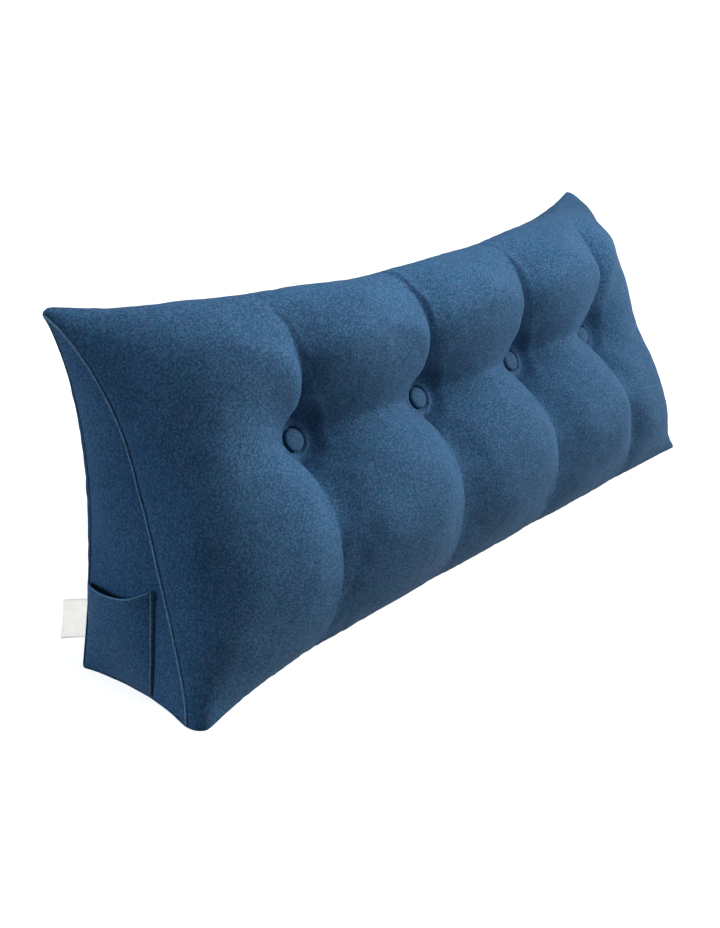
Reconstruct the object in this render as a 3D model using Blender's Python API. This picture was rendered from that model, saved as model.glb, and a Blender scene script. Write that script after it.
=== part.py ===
"""Wedge pillow for the head of a bed: a buttoned front, a plain back, a flat base, two side gussets,
four covered buttons, a patch pocket on the left gusset and a blank sewn-in label.

Frame: +X along the pillow, +Y towards its back, +Z up; the origin is near the middle of the base panel.
The body is one filled solid. Each of its panels is worked out from the seams around it: a point
has u, from -1 at the left gusset to +1 at the right one, and v, from 0 at the ridge to 1 at the foot.
"""
import math

import bmesh
import bpy
import numpy as np

# Sizes of the sewn cover, in metres
EAR_HALF = 0.640          # half the length between the two pointed top corners
BASE_HALF = 0.6625        # half the length between the base corners
HEIGHT = 0.500            # base to the top corners
FRONT_LINE = -0.1265      # y of the front edge of the base at its corners
BACK_LINE = 0.1165        # and of its back edge
EAR_LEAN = 0.040          # the top corners stand this far behind the back edge of the base
END_LEAN = 0.019          # the right end is fuller low down and narrower high up
SIDE_DRAW = 0.042         # both ends are drawn in this much at mid height by the filling
SIDE_DRAW_HIGH = 0.85     # under 1: the drawn-in waist is a little above mid height
SEAM_SWAY_ABOVE = 0.022   # the front gusset seam sways forward above its middle
SEAM_SWAY_BELOW = 0.014   # and back below it
EAR_TIP = 0.009           # the left top corner is rounded off by this much
EAR_TIP_HIGH = 0.030
EAR_RISE = 0.006          # the right top corner stands this much higher
EAR_FLARE = (0.012, -0.030)    # and is broader, as (x, y)
EAR_FLARE_AT = 0.10
RIDGE_SAG = 0.052         # the ridge between the top corners hangs this low
RIDGE_SAG_SKEW = 0.35     # and lower in its left half
RIDGE_FORWARD = 0.075     # and is pulled this far forward
FOOT_DRAW = 0.0455        # the front edge of the base is drawn in between its corners
FOOT_DRAW_START = 0.10    # soon after the left one
FOOT_DRAW_RISE = 1.3
FOOT_DRAW_FADE = 0.7      # and ever less towards the right one
FOOT_CORNER = (0.016, 0.0265)   # the front panel wraps round the left corner, as (x, y)
FOOT_CORNER_HIGH = 0.055
BACK_FOOT_DRAW = 0.020    # and the back edge
END_FOOT_DRAW = 0.013     # and the two short edges
FOOT_NOTCH = 0.003        # small notch in the front edge under each button
FOOT_NOTCH_HALF = 0.037

# Crowns: how far the two handles of each section curve stand off the straight chord, as (y, z)
FRONT_UPPER_CROWN = (-0.13, 0.32)
FRONT_LOWER_CROWN = (-0.27, 0.04)
RIGHT_SLACK = 0.15            # towards the right gusset the front's upper crown is this share flatter
RIGHT_SLACK_FROM = 0.5
BACK_UPPER_CROWN = (0.10, 0.10)
BACK_LOWER_CROWN = (0.07, 0.00)
GUSSET_CROWN_SHARE = 0.10     # of the gusset's width

# Tufting: what the buttons pull in, square to the slanting front
FRONT_TILT = math.radians(28.6)            # the front panel leans back by this much
PULL = (math.cos(FRONT_TILT), -math.sin(FRONT_TILT))    # inward, as (y, z)
BUTTON_SPACING = 0.259
BUTTON_COUNT = 4
BUTTON_ROW = 0.507            # v of the row of buttons
ROW_DROP = 0.060              # the row drops by this share of the height towards the right end
TUFT_DEPTH = 0.124
TUFT_MORE = 0.08              # the right half is pulled in this share deeper
TUFT_MORE_FROM = 0.35
VALLEY_DEPTH = 0.082          # of the valley halfway between two buttons
VALLEY_REACH = 0.072          # how near a button the valley deepens
VALLEY_ROUND = 0.006
VALLEY_ROUND_END = 0.060      # beyond the outer buttons
VALLEY_ROUND_WITHIN = 0.6     # of the way from them to the gusset
VALLEY_FADE_LEFT = 0.85       # the valley fades out towards the left gusset sooner
VALLEY_FADE_RIGHT = 0.6       # than towards the right one
VALLEY_ABOVE, VALLEY_ABOVE_POWER = 0.105, 1.6
VALLEY_BELOW, VALLEY_BELOW_POWER = 0.20, 2.0
CREASE_HALF = 0.10            # half width of the creases above and below a button
CREASE_POWER = 2.2
CREASE_TOP, CREASE_TOP_POWER = 0.15, 2.2
CREASE_FOOT, CREASE_FOOT_POWER = 0.97, 2.1
CREASE_SOFT_HALF = 0.062      # below a button the crease soon turns into a wide hollow
CREASE_SOFTENING = 0.16
LOBE_DROP = 0.040             # each lobe between two buttons is round, and this much lower at them
LOBE_HALF = 0.15
LOBE_TOP = (0.06, 0.42)       # from this v on, and wholly from the second
LOBE_FOOT = 0.70              # less again below this v
LOBE_LAST = 0.25              # and this share of it beyond the last button
LOBE_LAST_WITHIN = 0.25
FRONT_LENGTH = 0.58           # of the front panel from ridge to foot, to turn v into metres
WAIST_HALF = 0.610            # half the pillow's length at the button row, to turn u into metres
END_FADE = 0.05               # tufting fades out over this share of u at the gussets

# Covered buttons, in seats pressed flat
BUTTON_RADIUS = 0.0165
BUTTON_HIGH = 0.0095
BUTTON_RIM_HIGH = 0.0045
SEAT_FLAT, SEAT_EDGE = 0.0262, 0.0500
TOUCH_GAP = 0.0003

# Side pocket on the left gusset
POCKET_FRONT_TOP = 0.09       # w of its front edge at the mouth: 0 at the front seam, 1 at the back
POCKET_FRONT_FOOT = 0.373
POCKET_MOUTH_FRONT = 0.695    # v of the mouth at its front edge
POCKET_MOUTH_BACK = 0.760
POCKET_MOUTH_DIP = 0.016      # most at a third of its width from its front edge
DIP_PEAK = 6.75               # brings a * (1 - a) ** 2 to 1 there
POCKET_FOOT = 0.990
POCKET_BACK = 0.975
POCKET_POUCH = 0.014          # how far the mouth stands open
POCKET_THICK = 0.0020
POCKET_GAP = 0.0008

# Label sewn into the back seam on the left
LABEL_LOW, LABEL_HIGH = 0.042, 0.095
LABEL_LONG = 0.034
LABEL_THICK = 0.0010
LABEL_CURL = 0.004
LABEL_AWAY = math.radians(128)
LABEL_GAP = 0.0005

# How finely the faces are cut
PANEL_ROWS = 12               # rows above the buttons, and again below them
BASE_ROWS = 8
ROW_CROWDING = 0.42           # rows stand closer at the ridge, the buttons and the foot
COLUMN_STEPS = (0.0172, 0.034, 0.055, 0.080, 0.105)     # columns on each side of a button
END_STEPS = (0.140, 0.165, 0.185, 0.200, 0.210)         # and on to the gusset
CORNER_STEPS = (0.0015, 0.005)                          # the last ones before the left gusset

FABRIC_BLUE = (0.045, 0.125, 0.235)
GUSSET_BLUE = (0.030, 0.090, 0.175)
BUTTON_BLUE = (0.050, 0.130, 0.240)
LABEL_CREAM = (0.900, 0.850, 0.740)


def mix(start, end, share):
    """Go from start to end."""
    return start + (end - start) * share


def button_places():
    """Give the x of each button, left to right."""
    first = -BUTTON_SPACING * (BUTTON_COUNT - 1) / 2
    return [first + BUTTON_SPACING * number for number in range(BUTTON_COUNT)]


def ease(share):
    """Go smoothly from 0 to 1, held at both ends."""
    held = np.clip(share, 0, 1)
    return held * held * (3 - 2 * held)


def ear_flare(u, v):
    """How much broader the right top corner is at (u, v), from 0 to 1."""
    down = v / EAR_FLARE_AT
    return np.clip(u, 0, 1) ** 8 * down * np.exp(1 - down) * (1 - v)


def along(u, v):
    """The x of points at u and v: the ends are drawn in at the waist, and the right one leans."""
    half = mix(EAR_HALF, BASE_HALF, v) - SIDE_DRAW * np.sin(np.pi * v ** SIDE_DRAW_HIGH)
    leaning = END_LEAN * np.clip(u, 0, 1) ** 4 * np.sin(2 * np.pi * v)
    return u * half - leaning + EAR_FLARE[0] * ear_flare(u, v)


def corner_cut(u, reach, deep):
    """How far a rounded corner at the left end is cut back at u."""
    outward = 1 - np.clip((1 + u) * WAIST_HALF / reach, 0, 1)
    return deep * (1 - np.sqrt(1 - outward ** 2))


def foot_corner(u, v):
    """How far back the front panel turns round the left base corner."""
    return corner_cut(u, *FOOT_CORNER) * np.exp(-(1 - v) * FRONT_LENGTH / FOOT_CORNER_HIGH)


def ear_tip(u, v):
    """How far down the left top corner is rounded off."""
    return corner_cut(u, EAR_TIP, EAR_TIP) * np.exp(-v * FRONT_LENGTH / EAR_TIP_HIGH)


def ridge(u):
    """The top seam: it sags and comes forward between the two ears."""
    away = np.abs(u)
    y = BACK_LINE + EAR_LEAN - RIDGE_FORWARD * (1 - away ** 3)
    z = HEIGHT - RIDGE_SAG * (1 - RIDGE_SAG_SKEW * u) * (1 - away ** 2.2) ** 1.2
    return y, z + EAR_RISE * np.clip(u, 0, 1) ** 6


def front_foot(u):
    """The front edge of the base, drawn in between the corners and notched under each button."""
    share = np.clip((1 + u) / 2, 0, 1)
    rise = 1 - np.exp(-((share / FOOT_DRAW_START) ** FOOT_DRAW_RISE))
    y = FRONT_LINE + FOOT_DRAW * rise * (1 - share) ** FOOT_DRAW_FADE
    for place in button_places():
        y = y + FOOT_NOTCH * np.exp(-((u * WAIST_HALF - place) / FOOT_NOTCH_HALF) ** 2)
    return y


def back_foot(u):
    """The back edge of the base."""
    return BACK_LINE - BACK_FOOT_DRAW * (1 - np.abs(u) ** 2.5)


def swell(u, power, root):
    """How full the filling is at u: none at the gussets, whole in the middle."""
    return np.clip(1 - np.abs(u) ** power, 0, 1) ** root


def crowned_section(top, foot, upper, lower, fullness, v):
    """A section curve from the ridge to the foot, swollen by its two handles."""
    near_top = 3 * (1 - v) ** 2 * v
    near_foot = 3 * (1 - v) * v ** 2
    upper_full, lower_full = fullness
    y = mix(top[0], foot[0], v) + upper_full * near_top * upper[0] + lower_full * near_foot * lower[0]
    z = mix(top[1], foot[1], v) + upper_full * near_top * upper[1] + lower_full * near_foot * lower[1]
    return y, z


def nearest_button(u):
    """How far along the pillow the nearest button is."""
    return np.min([np.abs(u * WAIST_HALF - place) for place in button_places()], axis=0)


def trough(away, half, power):
    """A crease's cross section: 1 in its bottom, 0 from half a width away."""
    return np.clip(1 - np.abs(away) / half, 0, 1) ** power


def lobe(u, v):
    """How much lower the cloth is at (u, v) than on the crest of its lobe."""
    top, full = LOBE_TOP
    down = ease((v - top) / (full - top)) * ease((1 - v) / (1 - LOBE_FOOT))
    last_button = button_places()[-1] / WAIST_HALF
    flatter = mix(1, LOBE_LAST, ease((u - last_button) / (1 - last_button) / LOBE_LAST_WITHIN))
    return LOBE_DROP * flatter * down * trough(nearest_button(u), LOBE_HALF, 2)


def tuft_pull(u, v):
    """How far the buttons pull the front panel in at (u, v)."""
    nearest = nearest_button(u)
    last_button = button_places()[-1] / WAIST_HALF
    fade = np.where(u < 0, VALLEY_FADE_LEFT, VALLEY_FADE_RIGHT)
    to_end = np.clip((1 - np.abs(u)) / (1 - last_button), 0, 1) ** fade
    valley = mix(VALLEY_DEPTH, TUFT_DEPTH, np.exp(-(nearest / VALLEY_REACH) ** 2)) * to_end
    below = (v - BUTTON_ROW) * FRONT_LENGTH
    beyond = ease((np.abs(u) - last_button) / (1 - last_button) / VALLEY_ROUND_WITHIN)
    bottom = mix(VALLEY_ROUND, VALLEY_ROUND_END, beyond)
    from_valley = np.sqrt(below ** 2 + bottom ** 2) - bottom
    above_side = trough(from_valley, VALLEY_ABOVE, VALLEY_ABOVE_POWER)
    below_side = trough(from_valley, VALLEY_BELOW, VALLEY_BELOW_POWER)
    valley = valley * np.where(below < 0, above_side, below_side)
    rising = np.clip((v - CREASE_TOP) / (BUTTON_ROW - CREASE_TOP), 0, 1) ** CREASE_TOP_POWER
    falling = np.clip((CREASE_FOOT - v) / (CREASE_FOOT - BUTTON_ROW), 0, 1) ** CREASE_FOOT_POWER
    crease_depth = TUFT_DEPTH * np.where(v <= BUTTON_ROW, rising, falling)
    softened = ease((v - BUTTON_ROW) / CREASE_SOFTENING)
    hollow = np.exp(-((nearest / CREASE_SOFT_HALF) ** 2))
    crease = crease_depth * mix(trough(nearest, CREASE_HALF, CREASE_POWER), hollow, softened)
    pulled = np.minimum((valley ** 4 + crease ** 4 + lobe(u, v) ** 4) ** 0.25, TUFT_DEPTH)
    return pulled * (1 + TUFT_MORE * ease(u / TUFT_MORE_FROM)) * np.clip((1 - np.abs(u)) / END_FADE, 0, 1)


def seam_sway(v):
    """How far the front gusset seam stands in front of a straight line from ear to corner."""
    wave = np.sin(2 * np.pi * v ** 0.85)
    return wave * np.where(wave > 0, SEAM_SWAY_ABOVE, SEAM_SWAY_BELOW)


def tufted_front(u, v):
    """Points of the front panel with its tufting, before the buttons press their seats."""
    top = ridge(u)
    foot = (front_foot(u), 0 * u)
    slacker = 1 - RIGHT_SLACK * ease((u - RIGHT_SLACK_FROM) / (1 - RIGHT_SLACK_FROM))
    fullness = (swell(u, 5, 0.6) * slacker, swell(u, 6, 0.55))
    low = v + ROW_DROP * np.clip(u, 0, 1) ** 3 * np.sin(np.pi * v)
    y, z = crowned_section(top, foot, FRONT_UPPER_CROWN, FRONT_LOWER_CROWN, fullness, low)
    y = y - seam_sway(low) * np.abs(u) ** 8 + EAR_FLARE[1] * ear_flare(u, v) + foot_corner(u, low)
    z = z - ear_tip(u, low)
    pulled = tuft_pull(u, v) * swell(u, 8, 0.5)
    return np.stack([along(u, low), y + PULL[0] * pulled, z + PULL[1] * pulled], axis=-1)


def seat_places():
    """The middle of each button's seat: the deepest point of its tuft."""
    return [tufted_front(np.array(place / WAIST_HALF), BUTTON_ROW) for place in button_places()]


def front_panel(u, v):
    """Points of the buttoned front panel, with a flat seat pressed in under each button."""
    points = tufted_front(u, v)
    for seat in seat_places():
        across, y, z = np.moveaxis(points - seat, -1, 0)
        depth = y * PULL[0] + z * PULL[1]
        up = -y * PULL[1] + z * PULL[0]
        reach = ease((np.hypot(across, up) - SEAT_FLAT) / (SEAT_EDGE - SEAT_FLAT))
        held = np.where(np.abs(depth) < 2 * SEAT_EDGE, 1 - reach, 0)
        points[..., 1] -= held * depth * PULL[0]
        points[..., 2] -= held * depth * PULL[1]
    return points


def back_panel(u, v):
    """Points of the plain back panel."""
    fullness = (swell(u, 6, 0.55), swell(u, 6, 0.55))
    foot = (back_foot(u), 0 * u)
    y, z = crowned_section(ridge(u), foot, BACK_UPPER_CROWN, BACK_LOWER_CROWN, fullness, v)
    return np.stack([along(u, v), y, z - ear_tip(u, v)], axis=-1)


def base_panel(u, w):
    """Points of the flat base, w from its front edge to its back edge."""
    y = mix(front_foot(u) + foot_corner(u, 1.0), back_foot(u), w)
    drawn = END_FOOT_DRAW * 4 * w * (1 - w) / BASE_HALF
    return np.stack([u * BASE_HALF * (1 - drawn), y, 0 * u], axis=-1)


def gusset(end, w, v):
    """Points of the gusset at one end, -1 left or +1 right; w from the front seam to the back seam."""
    u = np.full_like(v, float(end))
    front, back = front_panel(u, v), back_panel(u, v)
    points = front + (back - front) * w[..., None]
    across = 4 * w * (1 - w)
    width = np.linalg.norm(back - front, axis=-1)
    out = GUSSET_CROWN_SHARE * width * across * np.sin(np.pi * v) - END_FOOT_DRAW * across * v ** 6
    points[..., 0] += end * out
    return points


def crowded(rows):
    """Shares from 0 to 1 that stand closer together at both ends."""
    even = np.linspace(0, 1, rows + 1)
    return even - ROW_CROWDING / (2 * np.pi) * np.sin(2 * np.pi * even)


def panel_rows():
    """The v of every row of points, ridge to foot."""
    upper = BUTTON_ROW * crowded(PANEL_ROWS)
    lower = mix(BUTTON_ROW, 1.0, crowded(PANEL_ROWS))
    return np.concatenate([upper, lower[1:]])


def panel_columns():
    """The u of every column of points, left to right."""
    places = [0.0]
    for place in button_places():
        outward = math.copysign(1, place)
        places.append(place)
        places += [place + side * step for step in COLUMN_STEPS for side in (-1, 1)]
        if abs(place) > BUTTON_SPACING:
            places += [place + outward * step for step in END_STEPS]
        else:
            places.append(place + outward * BUTTON_SPACING / 2)
    inner = sorted(place / WAIST_HALF for place in places)
    corner = [step / WAIST_HALF - 1.0 for step in CORNER_STEPS]
    return np.array([-1.0] + corner + inner + [1.0])


def add_grid(mesh, points):
    """Add a grid of points to a bmesh as quads."""
    rows = [[mesh.verts.new(point) for point in line] for line in points]
    for low, high in zip(rows, rows[1:]):
        for corner in zip(low, high, high[1:], low[1:]):
            mesh.faces.new(corner)


def make_object(name, mesh, colour, roughness):
    """Close a bmesh into a named object with its own material."""
    bmesh.ops.remove_doubles(mesh, verts=mesh.verts, dist=0.00001)
    bmesh.ops.recalc_face_normals(mesh, faces=mesh.faces)
    data = bpy.data.meshes.new(name)
    mesh.to_mesh(data)
    mesh.free()
    data.shade_smooth()
    data.set_sharp_from_angle(angle=math.radians(50))
    material = bpy.data.materials.new(name + "_cloth")
    material.use_nodes = True
    shader = material.node_tree.nodes["Principled BSDF"]
    shader.inputs["Base Color"].default_value = (*colour, 1.0)
    shader.inputs["Roughness"].default_value = roughness
    shader.inputs["Metallic"].default_value = 0.0
    data.materials.append(material)
    made = bpy.data.objects.new(name, data)
    bpy.context.scene.collection.objects.link(made)
    return made


def build_pillow():
    """The stuffed cover: five panels sewn edge to edge into one filled solid."""
    mesh = bmesh.new()
    u, v = np.meshgrid(panel_columns(), panel_rows(), indexing="ij")
    add_grid(mesh, front_panel(u, v))
    add_grid(mesh, back_panel(u, v))
    across = np.linspace(0, 1, BASE_ROWS + 1)
    u, w = np.meshgrid(panel_columns(), across, indexing="ij")
    add_grid(mesh, base_panel(u, w))
    v, w = np.meshgrid(panel_rows(), across, indexing="ij")
    for end in (-1, 1):
        add_grid(mesh, gusset(end, w, v))
    return make_object("pillow", mesh, FABRIC_BLUE, 0.85)


def build_button(number, seat):
    """A covered button: a low turned dome on its seat, leaning back with the front panel."""
    profile = [(0.0, BUTTON_HIGH)]
    for step in range(1, 5):
        turn = math.radians(18 * step)
        rise = mix(BUTTON_RIM_HIGH, BUTTON_HIGH, math.cos(turn))
        profile.append((BUTTON_RADIUS * math.sin(turn), rise))
    profile.append((BUTTON_RADIUS, BUTTON_RIM_HIGH))
    profile.append((BUTTON_RADIUS * 0.90, 0.0))
    profile.append((0.0, 0.0))
    mesh = bmesh.new()
    line = [mesh.verts.new((radius, 0, height)) for radius, height in profile]
    edges = [mesh.edges.new(pair) for pair in zip(line, line[1:])]
    bmesh.ops.spin(mesh, geom=line + edges, cent=(0, 0, 0), axis=(0, 0, 1), steps=24, angle=2 * math.pi)
    button = make_object(f"button_{number}", mesh, BUTTON_BLUE, 0.80)
    button.location = seat - TOUCH_GAP * np.array([0.0, *PULL])
    button.rotation_euler = (math.pi / 2 - FRONT_TILT, 0, 0)
    return button


def gusset_outward(w, v):
    """Outward directions of the left gusset."""
    step = 0.002
    along = gusset(-1, w + step, v) - gusset(-1, w - step, v)
    down = gusset(-1, w, v + step) - gusset(-1, w, v - step)
    out = np.cross(down, along)
    out /= np.linalg.norm(out, axis=-1)[..., None]
    return np.where(out[..., :1] > 0, -out, out)


def build_pocket():
    """The patch pocket: a thin sheet sewn down on three sides, its mouth standing a little open."""
    a, b = np.meshgrid(np.linspace(0, 1, 13), np.linspace(0, 1, 11), indexing="ij")
    dip = POCKET_MOUTH_DIP * DIP_PEAK * a * (1 - a) ** 2
    mouth = mix(POCKET_MOUTH_FRONT, POCKET_MOUTH_BACK, a) + dip
    v = mix(mouth, POCKET_FOOT, b)
    w = mix(mix(POCKET_FRONT_TOP, POCKET_FRONT_FOOT, b), POCKET_BACK, a)
    out = gusset_outward(w, v)
    pouch = POCKET_POUCH * (4 * a * (1 - a)) ** 0.7 * (1 - b ** 2) ** 0.8
    inner = gusset(-1, w, v) + out * (POCKET_GAP + pouch)[..., None]
    outer = inner + out * POCKET_THICK
    mesh = bmesh.new()
    add_grid(mesh, inner)
    add_grid(mesh, outer)
    for edge in (np.s_[0, :], np.s_[-1, :], np.s_[:, 0], np.s_[:, -1]):
        add_grid(mesh, np.stack([inner[edge], outer[edge]]))
    return make_object("side_pocket", mesh, GUSSET_BLUE, 0.85)


def build_label():
    """The blank label: a short tape of cloth that stands out of the back seam."""
    out, height = np.meshgrid(np.linspace(0, 1, 5), np.linspace(LABEL_LOW, LABEL_HIGH, 5), indexing="ij")
    v = 1 - height / HEIGHT
    seam = back_panel(np.full_like(v, -1.0), v)
    away = np.array([math.cos(LABEL_AWAY), math.sin(LABEL_AWAY), 0.0])
    side = np.array([-math.sin(LABEL_AWAY), math.cos(LABEL_AWAY), 0.0])
    curl = LABEL_CURL * out ** 2
    middle = seam + (LABEL_GAP + LABEL_LONG * out)[..., None] * away + curl[..., None] * side
    faces = [middle + side * LABEL_THICK / 2, middle - side * LABEL_THICK / 2]
    mesh = bmesh.new()
    for face in faces:
        add_grid(mesh, face)
    for edge in (np.s_[0, :], np.s_[-1, :], np.s_[:, 0], np.s_[:, -1]):
        add_grid(mesh, np.stack([faces[0][edge], faces[1][edge]]))
    return make_object("label", mesh, LABEL_CREAM, 0.75)


def main():
    """Clear the scene and build the pillow piece by piece."""
    for old in list(bpy.data.objects):
        bpy.data.objects.remove(old)
    build_pillow()
    for number, seat in enumerate(seat_places(), start=1):
        build_button(number, seat)
    build_pocket()
    build_label()


main()
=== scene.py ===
"""Looks of the wedge pillow: a stuffed cloth cover with a buttoned front, its welted seams, four covered
buttons, a hemmed side pocket and a blank label, in a plain studio.

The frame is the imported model's own, in metres: +X along the pillow, +Y towards its back, +Z up. Each panel
of the cover is worked out from its seams, as points with u from -1 at the left gusset to +1 at the right
one, and v from 0 at the ridge to 1 at the foot. The front panel then goes through a short cloth simulation
between its seams and buttons, for the small pulls, and the puckers, pleats and sharp folds come after it.
"""
from __future__ import annotations

import logging
import math
from dataclasses import dataclass, field
from enum import Enum
from typing import Callable

import bmesh
import bpy
import numpy as np
from mathutils import Matrix, Vector


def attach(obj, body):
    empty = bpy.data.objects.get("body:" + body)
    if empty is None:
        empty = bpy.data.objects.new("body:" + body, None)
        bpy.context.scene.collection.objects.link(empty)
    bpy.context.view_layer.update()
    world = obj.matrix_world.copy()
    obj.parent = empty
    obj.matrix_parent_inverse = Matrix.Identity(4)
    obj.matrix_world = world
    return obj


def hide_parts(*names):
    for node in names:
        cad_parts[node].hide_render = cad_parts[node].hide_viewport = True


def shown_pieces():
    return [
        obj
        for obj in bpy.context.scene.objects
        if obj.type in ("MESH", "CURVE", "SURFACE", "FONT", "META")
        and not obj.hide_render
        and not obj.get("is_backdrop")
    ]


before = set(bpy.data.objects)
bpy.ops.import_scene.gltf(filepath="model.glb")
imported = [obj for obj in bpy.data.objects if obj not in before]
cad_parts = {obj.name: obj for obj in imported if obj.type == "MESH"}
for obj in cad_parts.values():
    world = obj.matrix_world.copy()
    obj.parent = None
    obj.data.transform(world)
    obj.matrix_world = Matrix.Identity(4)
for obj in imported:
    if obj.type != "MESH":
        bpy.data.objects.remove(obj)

log = logging.getLogger("wedge_pillow")

Colour = tuple[float, float, float]
Point = tuple[float, float, float]
Grid = np.ndarray
Socket = bpy.types.NodeSocket

TINY = 1e-9
MILLIMETRES = 1000.0
RIPPLE_LENGTHS = (0.7, 1.6)    # the shortest and the longest ripple, as shares of the usual one
NOISE_ROUGHNESS = 0.6
THREAD_WANDER = 0.6
WAVE_UNIT = 20.0    # radians per metre in a wave texture whose scale is 1


class Panel(Enum):
    """The panels that the cover is sewn from, and the material slot that each one takes."""

    FRONT = 0
    BACK = 1
    BASE = 2
    GUSSET_LEFT = 3
    GUSSET_RIGHT = 4


class ThreadWay(Enum):
    """The two ways that the threads of a cloth run, as Blender's wave texture names them."""

    WARP = "X"
    WEFT = "Y"


class Sum(Enum):
    """How two values of a material are combined, as Blender's math node names it."""

    PLUS = "ADD"
    TIMES = "MULTIPLY"


class LampKind(Enum):
    """The studio's kinds of lamp, as Blender names them."""

    SUN = "SUN"
    SOFTBOX = "AREA"
    SPOT = "SPOT"


def mix(start: Grid | float, end: Grid | float, share: Grid | float) -> Grid | float:
    """Go from start to end by a share."""
    return start + (end - start) * share


def smooth(share: Grid | float) -> Grid:
    """Ease a share from 0 to 1, held at both ends."""
    held = np.clip(share, 0.0, 1.0)
    return held * held * (3.0 - 2.0 * held)


def ease(value: Grid | float, start: float, end: float) -> Grid:
    """Ease from 0 at a start to 1 at an end, held beyond both."""
    return smooth((value - start) / (end - start))


def hill(away: Grid | float, width: float) -> Grid:
    """A soft hill: 1 in its middle, and almost nothing from two widths away."""
    return np.exp(-((away / width) ** 2))


def unit(ways: Grid) -> Grid:
    """Bring directions to a length of 1."""
    return ways / np.linalg.norm(ways, axis=-1, keepdims=True)


def closed(grid: Grid) -> Grid:
    """Repeat each row's first entry at its end, so that the rows are rings."""
    return np.concatenate([grid, grid[:, :1]], axis=1)


def tinted(colour: Colour, shade: float) -> Colour:
    """A colour made darker by a share."""
    return tuple(part * shade for part in colour)


def crowded(count: int, crowding: float) -> Grid:
    """Shares from 0 to 1 that stand closer together at both ends.

    Args:
        count: How many steps.
        crowding: 0 for even steps, towards 1 for ever closer ones at the ends.

    Returns:
        The count + 1 shares.
    """
    even = np.linspace(0.0, 1.0, count + 1)
    return even - crowding / (2.0 * np.pi) * np.sin(2.0 * np.pi * even)


def normals_of(points: Grid) -> Grid:
    """Find the normals of a grid of points, as its first direction crossed with its second.

    Args:
        points: The grid of points.

    Returns:
        A unit normal for each point.
    """
    along = np.gradient(points, axis=0)
    down = np.gradient(points, axis=1)
    normal = np.cross(along, down)
    length = np.linalg.norm(normal, axis=-1, keepdims=True)
    return normal / np.maximum(length, TINY)


def arc_lengths(points: Grid, axis: int) -> Grid:
    """How far along its line each point of a grid lies, in metres.

    Args:
        points: A grid of points.
        axis: 0 to measure along the first direction, 1 along the second.

    Returns:
        One length per point, from 0 at the first.
    """
    steps = np.linalg.norm(np.diff(points, axis=axis), axis=-1)
    lengths = np.cumsum(steps, axis=axis)
    pad = [(1, 0), (0, 0)] if axis == 0 else [(0, 0), (1, 0)]
    return np.pad(lengths, pad)


def edge_distance(points: Grid) -> Grid:
    """How far each point of a panel is from its nearest seam, in metres."""
    along, down = arc_lengths(points, 0), arc_lengths(points, 1)
    return np.min([along, along[-1:] - along, down, down[:, -1:] - down], axis=0)


def cloth_places(points: Grid) -> Grid:
    """Work out where each point of a panel is in its cloth.

    Args:
        points: The panel's grid of points.

    Returns:
        Two lengths for each point, in metres, the first one from the panel's middle.
    """
    along, down = arc_lengths(points, 0), arc_lengths(points, 1)
    middle = points.shape[0] // 2
    return np.stack([along - along[middle], down], axis=-1)


def points_along(at: Grid | float, lengths: Grid, line: Grid) -> Grid:
    """Points at some lengths along a line, whose own points are at the given lengths."""
    return np.stack([np.interp(at, lengths, line[:, axis]) for axis in range(3)], axis=-1)


def rings_round(path: Grid, sizes: Grid, out: Grid, side: Grid, turn: Grid) -> Grid:
    """Draw rings round a path.

    Args:
        path: The middle of each ring.
        sizes: The radius of each ring.
        out: Where a ring's first point lies from its middle, one way for all or one for each ring.
        side: The way square to that one and to the path.
        turn: The angle of each of a ring's points.

    Returns:
        A row of points for each ring.
    """
    turn = turn[None, :, None]
    circle = np.cos(turn) * out[..., None, :] + np.sin(turn) * side[..., None, :]
    return path[:, None] + sizes[:, None, None] * circle


def ripples(first: Grid, second: Grid, size: float, seed: int, count: int = 10) -> Grid:
    """Smooth uneven ripples: a sum of waves in several directions.

    Args:
        first: One coordinate of each point, in metres.
        second: The other one.
        size: The usual length of a ripple, in metres.
        seed: Fixes the ripples.
        count: How many waves are summed.

    Returns:
        Heights of about -1 to 1.
    """
    source = np.random.default_rng(seed)
    total = np.zeros_like(first)
    for _ in range(count):
        turn = source.uniform(0.0, 2.0 * np.pi)
        pace = 2.0 * np.pi / (size * source.uniform(*RIPPLE_LENGTHS))
        start = source.uniform(0.0, 2.0 * np.pi)
        total = total + np.sin(pace * (first * math.cos(turn) + second * math.sin(turn)) + start)
    return total / math.sqrt(count / 2.0) / 2.0


def blurred(values: Grid, passes: int) -> Grid:
    """Average a grid of values with its neighbours, several times over.

    Args:
        values: The grid.
        passes: How many times.

    Returns:
        The evened grid.
    """
    for _ in range(passes):
        for axis in (0, 1):
            pad = [(1, 1) if axis == side else (0, 0) for side in range(values.ndim)]
            wide = np.pad(values, pad, mode="edge")
            before = np.take(wide, range(0, values.shape[axis]), axis=axis)
            after = np.take(wide, range(2, values.shape[axis] + 2), axis=axis)
            values = (before + 2.0 * values + after) / 4.0
    return values


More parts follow.
